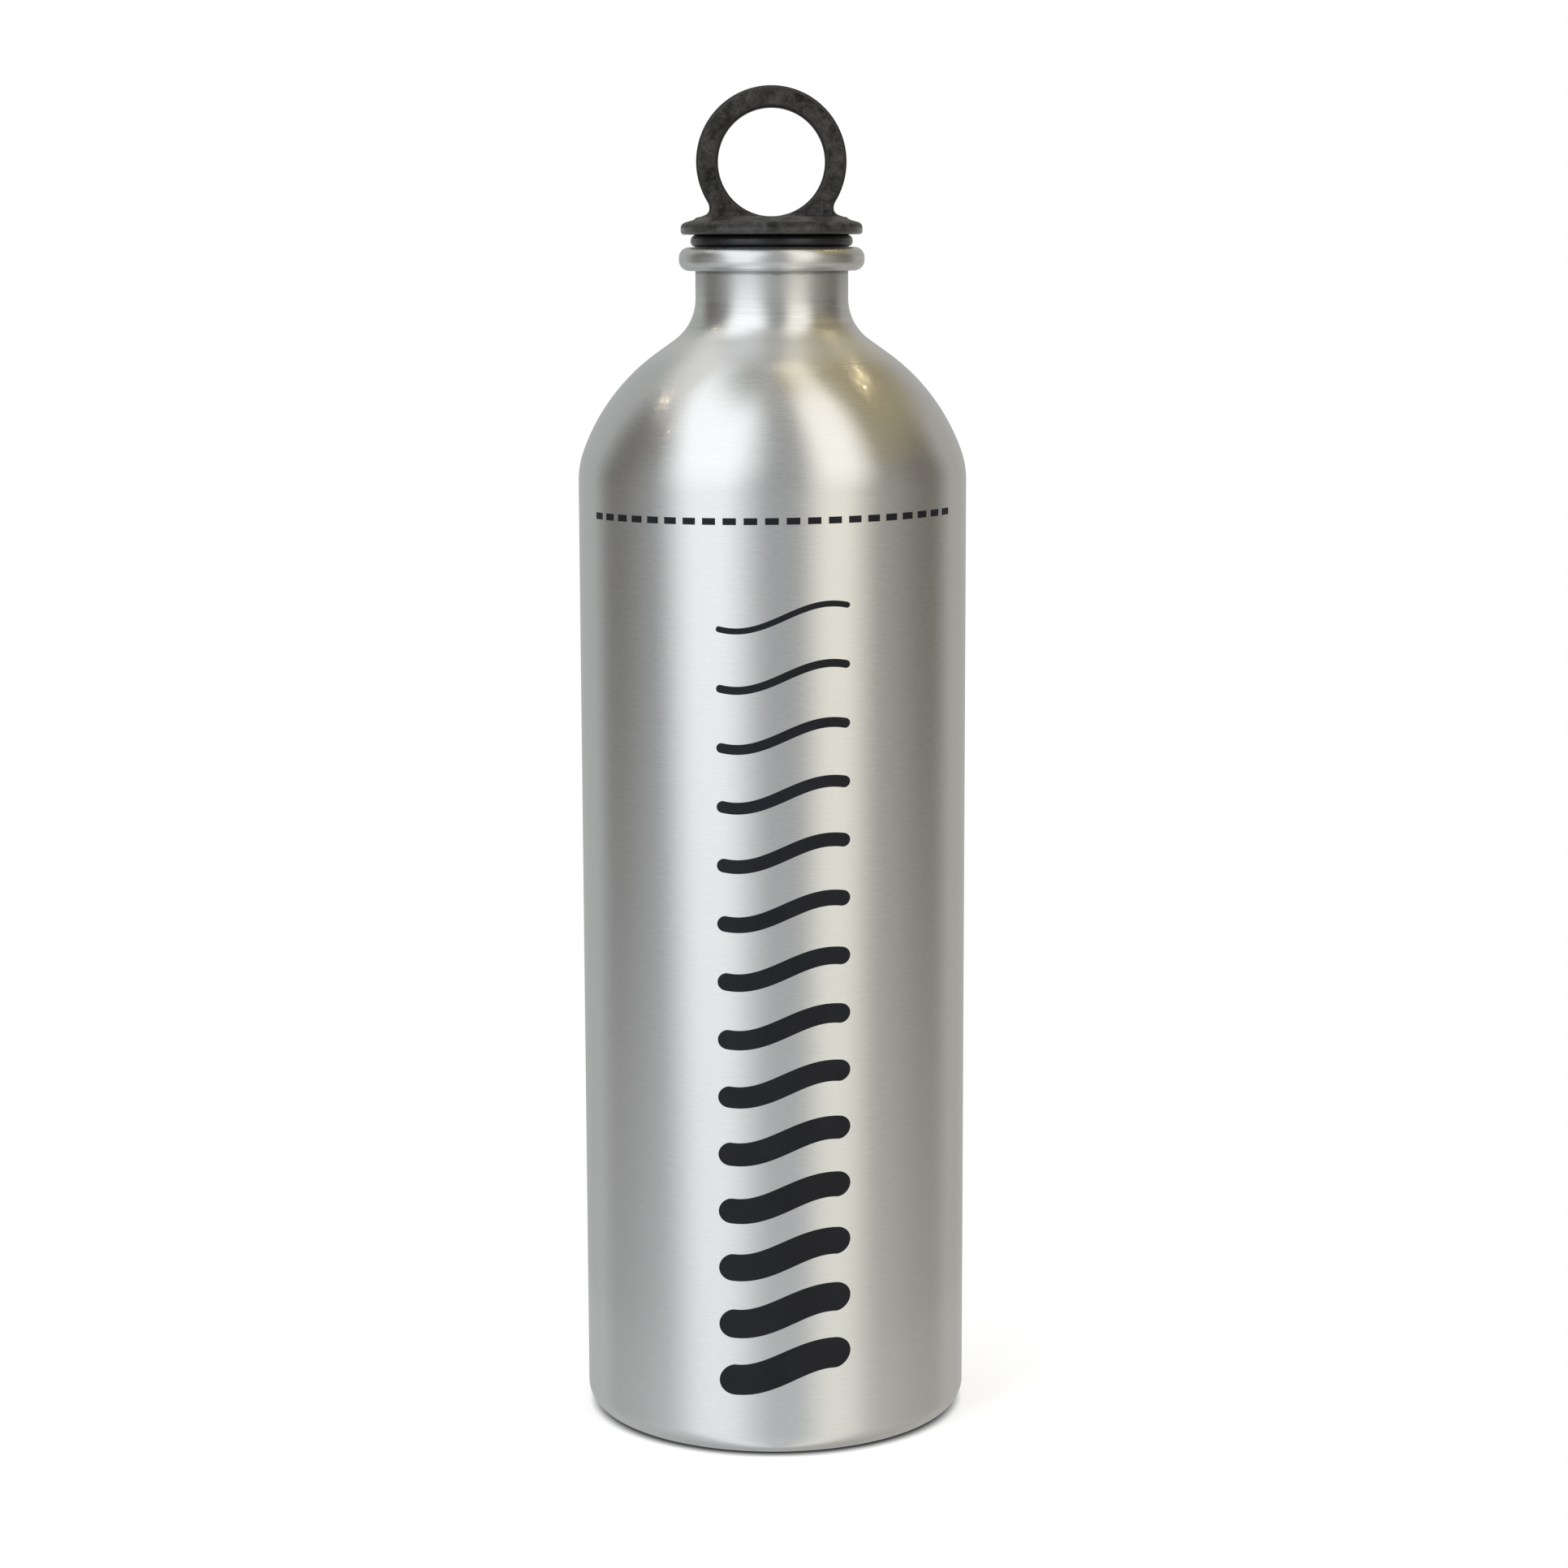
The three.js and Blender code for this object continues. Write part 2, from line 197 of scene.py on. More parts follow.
class PrintSizes(bpy.types.PropertyGroup):
    """Sizes of what is printed on the front."""

    sink: length("Print sink", "How far the ink reaches into the wall", 0.1 * MM)
    fill_height: length("Fill line height", "Height of the dashed fill line", 191 * MM)
    dash_width: length("Dash width", "Length of one dash", 2.7 * MM)
    dash_height: length("Dash height", "Thickness of one dash", 1.35 * MM)
    dash_pitch: length("Dash pitch", "Distance from dash to dash", 4.22 * MM)
    dash_count: IntProperty(name="Dashes", description="Number of dashes", default=21)
    tilt: angle("Tilt", "How far the print leans", 0.5)
    wave_low: length("Waves, lowest", "Height of the lowest wave", 19 * MM)
    wave_high: length("Waves, highest", "Height of the highest wave", 172 * MM)
    wave_width: length("Wave width", "Width of the printed waves", 27 * MM)
    wave_shift: length("Wave shift", "Middle of the waves to the right of the axis", 2.2 * MM)
    wave_count: IntProperty(name="Waves", description="Number of waves", default=14)
    wave_thin: length("Thinnest wave", "Thickness of the highest wave", 1.2 * MM)
    wave_thick: length("Thickest wave", "Thickness of the lowest wave", 6.4 * MM)
    wave_swing: length("Wave swing", "Rise and fall of a wave", 2.6 * MM)
    wave_length: length("Wave length", "Length of one wave", 38 * MM)


class Finishes(bpy.types.PropertyGroup):
    """Colours of the finishes."""

    metal: colour("Aluminium", "Brushed outside of the bottle", (0.785, 0.79, 0.785))
    lacquer: colour("Lacquer", "Coating inside the bottle", (0.58, 0.56, 0.5))
    sleeve: colour("Sleeve plastic", "Pale plastic of the thread sleeve", (0.7, 0.69, 0.64))
    cap: colour("Cap plastic", "Black moulded plastic", (0.0045, 0.0045, 0.0045))
    seal: colour("Seal rubber", "Black rubber", (0.0055, 0.0055, 0.007))
    ink: colour("Ink", "Black print", (0.0075, 0.008, 0.0105))
    dust: colour("Dust", "Fine pale dust on the black pieces", (0.062, 0.06, 0.057))
    metal_roughness: share("Aluminium roughness", "Blur of the brushed metal", 0.23)
    cap_roughness: share("Cap roughness", "Blur of the cap's shine", 0.42)


class StageSettings(bpy.types.PropertyGroup):
    """Camera, lamps and surroundings."""

    camera_distance: length("Camera distance", "From the bottle's axis to the camera", 721.8 * MM)
    camera_height: length("Camera height", "Height of the camera", 245.1 * MM)
    camera_side: length("Camera side step", "Camera to the right of the axis", 2.2 * MM)
    camera_tilt: angle("Camera tilt", "How far the camera looks down", 8.84)
    camera_roll: angle("Camera roll", "Lean of the camera", -0.17)
    lens: FloatProperty(
        name="Lens", description="Focal length for a 36 mm sensor", default=80.09, unit="CAMERA"
    )
    ambient: share("Ambient", "Level of the room's even light", 0.45)
    key_power: watts("Key lamp", "Power of the left lamp", 14.0)
    fill_power: watts("Fill lamp", "Power of the right lamp", 9.0)
    top_power: watts("Top lamp", "Power of the upper lamp", 9.0)
    floor_radius: length("Floor radius", "Radius at which the floor has faded out", 115 * MM)


def settings(name):
    """One of the scene's groups of settings."""
    return getattr(bpy.context.scene, name)


# Outlines


def arc(centre, radius, start, end, step=ARC_STEP):
    """Points on an arc, angles in degrees: 0 is away from the axis and 90 is up."""
    count = max(2, math.ceil(abs(end - start) / step))
    turns = np.radians(np.linspace(start, end, count + 1))
    return [(centre[0] + radius * math.cos(t), centre[1] + radius * math.sin(t)) for t in turns]


def guarded(points, closed):
    """Adds a point close to each end of every long straight stretch, so that it shades flat."""
    result = []
    ends = points[1:] + points[:1]
    for i, (a, b) in enumerate(zip(points, ends)):
        result.append(a)
        span = math.dist(a, b)
        if span > 4 * GUARD and (closed or i + 1 < len(points)):
            share_in = GUARD / span
            for t in (share_in, 1 - share_in):
                result.append((a[0] + t * (b[0] - a[0]), a[1] + t * (b[1] - a[1])))
    return result


def body_skin(s, offset):
    """The body from its foot corner to the top of the neck fillet, moved in by an offset."""
    radius = s.body_radius - s.print_film
    tight_r = radius - s.shoulder_tight
    step = s.shoulder_tight - s.shoulder_wide
    wide_r = tight_r + step * math.cos(s.tight_angle)
    wide_z = s.shoulder_start + step * math.sin(s.tight_angle)
    end_r = wide_r + s.shoulder_wide * math.cos(s.end_angle)
    end_z = wide_z + s.shoulder_wide * math.sin(s.end_angle)
    fillet_r = s.neck_radius + s.neck_fillet
    drop = (end_r - fillet_r + s.neck_fillet * math.cos(s.end_angle)) / math.tan(s.end_angle)
    fillet_z = end_z + drop + s.neck_fillet * math.sin(s.end_angle)
    tight, end = math.degrees(s.tight_angle), math.degrees(s.end_angle)
    return [
        *arc((radius - s.foot_corner, s.foot_corner), s.foot_corner - offset, -90, 0),
        *arc((tight_r, s.shoulder_start), s.shoulder_tight - offset, 0, tight, SHOULDER_ARC_STEP),
        *arc((wide_r, wide_z), s.shoulder_wide - offset, tight, end, SHOULDER_ARC_STEP)[1:],
        *arc((fillet_r, fillet_z), s.neck_fillet + offset, 180 + end, 180),
    ]


def base_dome(s, offset):
    """The domed base from the axis to the foot ring, moved in by an offset."""
    sphere = (s.foot_inner**2 + s.dome_rise**2) / (2 * s.dome_rise)
    centre = s.dome_rise - sphere
    foot = math.degrees(math.asin((offset - centre) / (sphere + offset)))
    return arc((0, centre), sphere + offset, 90, foot, DOME_ARC_STEP)


def rolled_rim(s):
    """The wall folds out over the top, down and back under towards the neck."""
    roll_r = s.rim_radius - s.rim_round
    top = RIM_TOP - s.rim_round
    bottom = RIM_TOP - s.rim_height + s.rim_round
    inside = s.rim_round - s.wall
    edge_r = s.neck_radius + s.rim_gap + s.wall / 2
    edge_z = RIM_TOP - s.rim_height + s.wall / 2
    return [
        (s.neck_radius, RIM_TOP - s.wall),
        *arc((roll_r, top), inside, 90, 0, FINE_ARC_STEP),
        *arc((roll_r, bottom), inside, 0, -90, FINE_ARC_STEP),
        *arc((edge_r, edge_z), s.wall / 2, 90, 270, 2 * FINE_ARC_STEP),
        *arc((roll_r, bottom), s.rim_round, -90, 0),
        *arc((roll_r, top), s.rim_round, 0, 90),
        *arc((s.neck_radius, RIM_TOP - s.wall), s.wall, 90, 180, FINE_ARC_STEP),
    ]


def shell_profile(s):
    """The bottle's whole section, and for each point whether it is coated inside."""
    outside = guarded(base_dome(s, 0) + body_skin(s, 0) + rolled_rim(s), False)
    inside = guarded((base_dome(s, s.wall) + body_skin(s, s.wall))[::-1], False)
    return outside + inside, [0.0] * len(outside) + [1.0] * len(inside)


def sleeve_profile(s):
    """The thread sleeve without its thread."""
    low, high = SLEEVE_LOW.z, SLEEVE_HIGH.z
    barb = SLEEVE_HIGH.x
    outer = s.neck_radius - s.wall - s.sleeve_fit
    lead = s.sleeve_bore + s.sleeve_lead_in
    return guarded(
        [
            (lead, low),
            (barb - s.sleeve_lead_in, low),
            (barb, low + s.sleeve_lead_in),
            (barb, low + s.sleeve_barb_end),
            (outer, low + s.sleeve_barb_start),
            (outer, high),
            (lead, high),
            (s.sleeve_bore, high - s.sleeve_lead_in),
            (s.sleeve_bore, low + s.sleeve_lead_in),
        ],
        True,
    )


def seal_profile(c):
    """A flat ring with round edges, pressed flatter onto the rim."""
    inner, outer = c.stem_radius + c.seal_fit, SEAL_HIGH.x
    low, high = RIM_TOP + c.seal_nip, RIM_TOP + c.flange_bottom - c.seal_nip
    corners = [
        (outer - c.seal_press, low + c.seal_press, c.seal_press, -90),
        (outer - c.seal_round, high - c.seal_round, c.seal_round, 0),
        (inner + c.seal_round, high - c.seal_round, c.seal_round, 90),
        (inner + c.seal_press, low + c.seal_press, c.seal_press, 180),
    ]
    points = [p for r, z, size, start in corners for p in arc((r, z), size, start, start + 90, FINE_ARC_STEP)]
    return guarded(points, True)


def disc_profile(c):
    """A lid with a dished underside and a spigot that goes up into the plug."""
    low, high = DISC_LOW.z, DISC_HIGH.z
    plate = low + c.disc_thickness
    rim = DISC_HIGH.x
    spigot = c.hollow_radius - c.disc_fit
    bore = spigot - c.disc_spigot_wall
    return guarded(
        [
            (0, low + c.disc_dish_depth),
            (c.disc_dish_radius - c.disc_dish_depth, low + c.disc_dish_depth),
            (c.disc_dish_radius, low),
            (rim - c.disc_chamfer, low),
            (rim, low + c.disc_chamfer),
            (rim, plate - c.disc_chamfer),
            (rim - c.disc_chamfer, plate),
            (spigot, plate),
            (spigot, high - c.disc_chamfer),
            (spigot - c.disc_chamfer, high),
            (bore + c.disc_chamfer, high),
            (bore, high - c.disc_chamfer),
            (bore, plate),
            (0, plate),
        ],
        False,
    )


def plug_outline(c):
    """Half section of the flange and the hollow plug, carried past the axis so that the axis is no edge."""
    base = RIM_TOP
    wide = base + c.flange_bottom + c.flange_lower_round
    upper_r = c.flange_radius - c.flange_upper_round
    top_z = base + c.flange_top - c.flange_top_round
    edge_z = wide + c.flange_edge
    shrink = c.flange_upper_round - c.flange_top_round
    rise = top_z - edge_z - shrink * math.sin(c.flange_slope)
    top_r = upper_r + shrink * math.cos(c.flange_slope) - rise * math.tan(c.flange_slope)
    slope = math.degrees(c.flange_slope)
    roof = base + c.hollow_top
    bottom = CAP_LOW.z
    seat = bottom + c.seat_depth
    stem_end = base + c.stem_end
    past_axis = -c.hollow_radius
    return [
        (past_axis, roof),
        *arc((c.hollow_radius - c.hollow_round, roof - c.hollow_round), c.hollow_round, 90, 0, FINE_ARC_STEP),
        (c.hollow_radius, seat),
        (c.seat_radius, seat),
        (c.seat_radius, bottom),
        (c.plug_radius - c.chamfer, bottom),
        (c.plug_radius, bottom + c.chamfer),
        (c.plug_radius, stem_end - c.chamfer),
        (c.stem_radius, stem_end),
        (c.stem_radius, base + c.flange_bottom),
        *arc((c.flange_radius - c.flange_lower_round, wide), c.flange_lower_round, -90, 0, FINE_ARC_STEP),
        *arc((upper_r, edge_z), c.flange_upper_round, 0, slope, FINE_ARC_STEP),
        *arc((top_r, top_z), c.flange_top_round, slope, 90, FINE_ARC_STEP),
        (past_axis, base + c.flange_top),
    ]


# A moulded piece as the zero level of a distance


def outline_distance(u, v, outline):
    """Signed distance from points (u, v) to a closed outline, negative inside."""
    nearest = np.full(u.shape, np.inf, np.float32)
    inside = np.zeros(u.shape, bool)
    for (au, av), (bu, bv) in zip(outline, outline[1:] + outline[:1]):
        eu, ev = bu - au, bv - av
        span = eu * eu + ev * ev
        if span == 0:
            continue
        pu, pv = u - au, v - av
        t = np.clip((pu * eu + pv * ev) / span, 0, 1)
        nearest = np.minimum(nearest, (pu - t * eu) ** 2 + (pv - t * ev) ** 2)
        if av != bv:
            crosses = (av > v) != (bv > v)
            inside ^= crosses & (pu < pv * eu / ev)
    return np.where(inside, -1, 1) * np.sqrt(nearest)


def round_union(a, b, radius):
    """Joins two distances with a fillet."""
    u, v = np.maximum(radius - a, 0), np.maximum(radius - b, 0)
    return np.maximum(radius, np.minimum(a, b)) - np.hypot(u, v)


def round_overlap(a, b, radius):
    """Keeps what two distances share, with a rounded edge."""
    u, v = np.maximum(radius + a, 0), np.maximum(radius + b, 0)
    return np.minimum(-radius, np.maximum(a, b)) + np.hypot(u, v)


def loop_distance(c, x, z):
    """The loop seen from the front, without its hole: a disc whose sides flare into the flange."""
    centre = RIM_TOP + c.loop_centre
    radius = CAP_HIGH.z - centre
    top = RIM_TOP + c.flange_top - c.loop_sink
    root = RIM_TOP + c.flange_bottom + c.flange_lower_round
    fillet_z = top + c.side_fillet
    drop = centre - fillet_z
    fillet_x = math.sqrt((radius + c.side_fillet) ** 2 - drop**2)
    side = np.abs(x)
    in_x, down_z = fillet_x - side, fillet_z - z
    turn_in = np.arctan2(down_z, in_x)
    flared = (turn_in > -math.atan2(drop, fillet_x)) & (turn_in < math.pi / 2)
    straight = np.minimum(np.hypot(side, z - centre) - radius, z - top)
    outline = np.where(flared, c.side_fillet - np.hypot(in_x, down_z), straight)
    beyond_toe = np.where(z < fillet_z, side - fillet_x, -radius)
    return np.maximum(np.maximum(outline, beyond_toe), root - z)


def cap_distance(c):
    """The distance of any point to the cap's moulding."""
    turned = plug_outline(c)
    centre = RIM_TOP + c.loop_centre
    half = c.loop_thickness / 2

    def distance(points):
        """The distance at each of the points."""
        x, y, z = points.T
        plug = outline_distance(np.hypot(x, y), z, turned)
        face = np.abs(y) - half
        ring = round_overlap(loop_distance(c, x, z), face, c.loop_edge)
        body = round_union(plug, ring, c.face_fillet)
        hole = np.minimum(c.loop_hole - np.hypot(x, z - centre), c.hole_reach - np.abs(y))
        return np.minimum(round_overlap(body, hole, c.loop_edge), plug)

    return distance


def moulded_surface(distance, low, high):
    """A quad mesh on the zero level of a distance: one point in each cell that the surface crosses."""
    axes = [
        np.arange(a - 2 * MOULD_CELL, b + 3 * MOULD_CELL, MOULD_CELL, np.float32)
        for a, b in zip(low, high)
    ]
    grid = np.stack(np.meshgrid(*axes, indexing="ij"), -1)
    field = distance(grid.reshape(-1, 3)).reshape(grid.shape[:3])
    cells = tuple(n - 1 for n in field.shape)

    def corner(values, i, j, k):
        """The values at one corner of every cell."""
        return values[i : i + cells[0], j : j + cells[1], k : k + cells[2]]

    unit = np.eye(3, dtype=int)
    total = np.zeros(cells + (3,))
    hits = np.zeros(cells)
    for axis, along in enumerate(unit):
        others = [o for o in range(3) if o != axis]
        for p, q in ((0, 0), (0, 1), (1, 0), (1, 1)):
            start = np.zeros(3, int)
            start[others] = p, q
            a, b = corner(field, *start), corner(field, *(start + along))
            crossed = (a < 0) != (b < 0)
            t = np.where(crossed, a / np.where(crossed, a - b, 1), 0)
            total += crossed[..., None] * (start + t[..., None] * along)
            hits += crossed
    used = hits > 0
    number = np.full(cells, -1)
    number[used] = np.arange(used.sum())
    origin = np.array([a[0] for a in axes])
    points = (np.argwhere(used) + total[used] / hits[used][:, None]) * MOULD_CELL + origin
    inside = field < 0
    here = corner(inside, 0, 0, 0)
    quads = []
    for axis, along in enumerate(unit):
        side_a, side_b = unit[(axis + 1) % 3], unit[(axis + 2) % 3]
        there = corner(inside, *along)
        for near, flip in ((here & ~there, False), (~here & there, True)):
            at = np.argwhere(near)
            ring = [number[tuple((at - d).T)] for d in (0 * side_a, side_a, side_a + side_b, side_b)]
            quads.append(np.stack(ring[::-1] if flip else ring, -1))
    for _ in range(MOULD_SETTLES):
        value = distance(points)
        steps = np.eye(3) * MOULD_PROBE
        rises = [distance(points + s) - distance(points - s) for s in steps]
        slope = np.stack(rises, -1) / (2 * MOULD_PROBE)
        weight = np.maximum((slope**2).sum(-1), MOULD_LEAST_SLOPE**2)
        points = points - (value / weight)[:, None] * slope
    return points, np.concatenate(quads)


# Node trees

# Sockets of a Mix node that mixes colours
MIX_MASK, MIX_LOW, MIX_HIGH, MIX_RESULT = 0, 6, 7, 2


class Nodes:
    """Adds nodes to a tree. An input is given as a plain value or as the socket that feeds it."""

    def __init__(self, tree):
        self.tree = tree

    def feed(self, node, inputs):
        """Sets or links a node's inputs."""
        for key, value in inputs.items():
            if isinstance(value, bpy.types.NodeSocket):
                self.tree.links.new(value, node.inputs[key])
            else:
                node.inputs[key].default_value = value

    def add(self, kind, inputs=None, **options):
        """A new node's outputs."""
        node = self.tree.nodes.new(kind)
        for name, value in options.items():
            setattr(node, name, value)
        self.feed(node, inputs or {})
        return node.outputs

    def maths(self, operation, *values):
        """A Math node's result."""
        return self.add("ShaderNodeMath", dict(enumerate(values)), operation=operation)[0]

    def product(self, first, *others):
        """All the values multiplied."""
        for other in others:
            first = self.maths("MULTIPLY", first, other)
        return first

    def less(self, value, taken):
        """A value less another."""
        return self.maths("SUBTRACT", value, taken)

    def flipped(self, mask):
        """1 where a mask is 0, and 0 where it is 1."""
        return self.less(1.0, mask)

    def ramp(self, value, start, end):
        """A mask that goes softly from 0 to 1 while a value goes from start to end."""
        span = {"Value": value, "From Min": start, "From Max": end}
        return self.add("ShaderNodeMapRange", span, interpolation_type="SMOOTHSTEP")[0]

    def between(self, value, low, high, start=0.0, end=1.0):
        """A number that goes evenly from low to high while a value goes from start to end."""
        span = {"Value": value, "From Min": start, "From Max": end, "To Min": low, "To Max": high}
        return self.add("ShaderNodeMapRange", span)[0]

    def mixed(self, mask, low, high):
        """A colour that goes from low to high with a mask."""
        inputs = {MIX_MASK: mask, MIX_LOW: low, MIX_HIGH: high}
        return self.add("ShaderNodeMix", inputs, data_type="RGBA")[MIX_RESULT]

    def noise(self, where, scale, **options):
        """A Noise Texture's outputs."""
        return self.add("ShaderNodeTexNoise", {"Vector": where, "Scale": scale, **options})

    def vector(self, x=0.0, y=0.0, z=0.0):
        """A vector made of its three parts."""
        return self.add("ShaderNodeCombineXYZ", {"X": x, "Y": y, "Z": z})[0]

    def parts(self, vector):
        """The three parts of a vector."""
        return self.add("ShaderNodeSeparateXYZ", {"Vector": vector})

    def object_point(self):
        """The point that is shaded, in the object's own frame."""
        return self.add("ShaderNodeTexCoord")["Object"]

    def moved(self, geometry, **change):
        """Geometry that is moved or turned."""
        return self.add("GeometryNodeTransform", {"Geometry": geometry, **change})[0]

    def mesh_points(self):
        """The places of a mesh's points, as their three parts."""
        return self.parts(self.add("GeometryNodeInputPosition")[0])

    def scattered(self, points, piece):
        """A piece copied to each point, as plain geometry."""
        copies = self.add("GeometryNodeInstanceOnPoints", {"Points": points, "Instance": piece})[0]
        return self.add("GeometryNodeRealizeInstances", {"Geometry": copies})[0]

    def swept(self, path, **section):
        """The smooth skin of a section that follows a path and stays upright."""
        rail = self.add("GeometryNodeSetCurveNormal", {"Curve": path}, mode="Z_UP")[0]
        skin = self.add("GeometryNodeCurveToMesh", {"Curve": rail, **section})[0]
        welded = self.add("GeometryNodeMergeByDistance", {"Geometry": skin, "Distance": WELD})[0]
        return self.add("GeometryNodeSetShadeSmooth", {"Geometry": welded})[0]


def floats(*names):
    """Number sockets for a node group."""
    return dict.fromkeys(names, "Float")


def new_group(name, kind, inputs, outputs):
    """An empty node group with its sockets, as (nodes, input sockets, output node)."""
    tree = bpy.data.node_groups.new(name, kind)
    for in_out, sockets in (("INPUT", inputs), ("OUTPUT", outputs)):
        for socket, socket_kind in sockets.items():
            tree.interface.new_socket(socket, in_out=in_out, socket_type="NodeSocket" + socket_kind)
    given = tree.nodes.new("NodeGroupInput").outputs
    return Nodes(tree), given, tree.nodes.new("NodeGroupOutput")


def tree_named(name, make):
    """A node tree that is built only once."""
    return bpy.data.node_groups.get(name) or make()


# Geometry Nodes


def geometry_tree(name, inputs):
    """An empty Geometry Nodes tree."""
    shape = {"Geometry": "Geometry"}
    return new_group(name, "GeometryNodeTree", {**shape, **inputs}, shape)


def finish_tree(nodes, end, geometry, finish):
    """Ends a tree with plain geometry that carries its finish."""
    real = nodes.add("GeometryNodeRealizeInstances", {"Geometry": geometry})[0]
    painted = nodes.add("GeometryNodeSetMaterial", {"Geometry": real, "Material": finish})[0]
    nodes.feed(end, {0: painted})
    return painted


def turned_tree():
    """Sweeps a profile of (radius, height) points round the Z axis."""
    inputs = {"Around": "Int", "Outside finish": "Material", "Inside finish": "Material"}
    nodes, given, end = geometry_tree("Turned piece", inputs)
    line = nodes.add("GeometryNodeMeshToCurve", {"Mesh": given["Geometry"]})[0]
    section = nodes.moved(line, Translation=(-RAIL, 0, 0), Scale=(1, -1, 1))
    circle = {"Resolution": given["Around"], "Radius": RAIL}
    path = nodes.add("GeometryNodeCurvePrimitiveCircle", circle)[0]
    skin = nodes.swept(path, **{"Profile Curve": section})
    painted = finish_tree(nodes, end, skin, given["Outside finish"])
    coat = nodes.add("GeometryNodeInputNamedAttribute", {"Name": "inside"}, data_type="FLOAT")[0]
    coating = {
        "Geometry": painted,
        "Selection": nodes.maths("GREATER_THAN", coat, 0.5),
        "Material": given["Inside finish"],
    }
    nodes.feed(end, {0: nodes.add("GeometryNodeSetMaterial", coating)[0]})
    return nodes.tree


def thread_tree():
    """A right-hand screw thread: a rounded ridge on a helix that runs out at both ends."""
    helix_sizes = floats("Core radius", "Start height", "Start angle", "Turns", "Lead", "Run-out")
    ridge_sizes = floats("Ridge height", "Ridge root", "Ridge crest", "Sink", "Rounding", "Facing")
    inputs = {**helix_sizes, **ridge_sizes, "Steps": "Int", "Finish": "Material"}
    nodes, given, end = geometry_tree("Screw thread", inputs)
    spiral = {
        "Resolution": given["Steps"],
        "Rotations": given["Turns"],
        "Start Radius": given["Core radius"],
        "End Radius": given["Core radius"],
        "Height": nodes.product(given["Lead"], given["Turns"]),
        "Reverse": True,
    }
    helix = nodes.add("GeometryNodeCurveSpiral", spiral)[0]
    start = nodes.vector(z=given["Start height"])
    path = nodes.moved(helix, Translation=start, Rotation=nodes.vector(z=given["Start angle"]))
    depth = nodes.maths("ADD", given["Ridge height"], given["Sink"])
    ridge = {
        "Height": depth,
        "Bottom Width": given["Ridge root"],
        "Top Width": given["Ridge crest"],
        "Offset": 0.0,
    }
    section = nodes.add("GeometryNodeCurvePrimitiveQuadrilateral", ridge, mode="TRAPEZOID")[0]
    softening = {"Curve": section, "Count": 4, "Radius": given["Rounding"], "Limit Radius": True}
    rounded = nodes.add("GeometryNodeFilletCurve", softening, mode="POLY")[0]
    lift = nodes.less(nodes.product(depth, 0.5), given["Sink"])
    lifted = nodes.moved(rounded, Translation=nodes.vector(y=lift))
    faced = nodes.moved(lifted, Rotation=nodes.vector(z=given["Facing"]))
    along = nodes.add("GeometryNodeSplineParameter")["Factor"]
    from_start = nodes.product(along, given["Turns"])
    from_end = nodes.less(given["Turns"], from_start)
    nearest = nodes.maths("MINIMUM", from_start, from_end)
    run_out = {"Value": nearest, "From Max": given["Run-out"], "To Min": THREAD_TIP}
    size = nodes.add("ShaderNodeMapRange", run_out, interpolation_type="SMOOTHSTEP")[0]
    skin = nodes.swept(path, **{"Profile Curve": faced, "Scale": size, "Fill Caps": True})
    finish_tree(nodes, end, skin, given["Finish"])
    return nodes.tree


def wrap_tree():
    """Bends flat print, drawn in X and Z with its depth in Y, round the bottle's wall."""
    nodes, given, end = geometry_tree("Wrap on wall", floats("Radius", "Tilt"))
    spot = nodes.mesh_points()
    around = nodes.maths("DIVIDE", spot["X"], given["Radius"])
    reach = nodes.maths("ADD", given["Radius"], spot["Y"])
    lean = nodes.product(spot["X"], nodes.maths("TANGENT", given["Tilt"]))
    bent = nodes.vector(
        nodes.product(reach, nodes.maths("SINE", around)),
        nodes.product(reach, nodes.maths("COSINE", around), -1.0),
        nodes.maths("ADD", spot["Z"], lean),
    )
    moved = nodes.add("GeometryNodeSetPosition", {"Geometry": given["Geometry"], "Position": bent})[0]
    nodes.feed(end, {0: moved})
    return nodes.tree


def wrapped(nodes, geometry, given):
    """Flat print that is bent round the wall."""
    inputs = {"Geometry": geometry, "Radius": given["Radius"], "Tilt": given["Tilt"]}
    return nodes.add("GeometryNodeGroup", inputs, node_tree=tree_named("Wrap on wall", wrap_tree))[0]


PRINT_INPUTS = {
    **floats("Radius", "Tilt", "Depth", "Depth centre", "Width"),
    "Count": "Int",
    "Finish": "Material",
}


def dash_tree():
    """A row of dashes round the wall."""
    nodes, given, end = geometry_tree("Dashed line", {**PRINT_INPUTS, **floats("Height", "Pitch", "Level")})
    last = nodes.less(given["Count"], 1.0)
    first = nodes.vector(nodes.product(last, given["Pitch"], -0.5), given["Depth centre"], given["Level"])
    line = {"Count": given["Count"], "Start Location": first, "Offset": nodes.vector(given["Pitch"])}
    row = nodes.add("GeometryNodeMeshLine", line)[0]
    size = nodes.vector(given["Width"], given["Depth"], given["Height"])
    dash = nodes.add("GeometryNodeMeshCube", {"Size": size, "Vertices X": DASH_STEPS})[0]
    finish_tree(nodes, end, wrapped(nodes, nodes.scattered(row, dash), given), given["Finish"])
    return nodes.tree


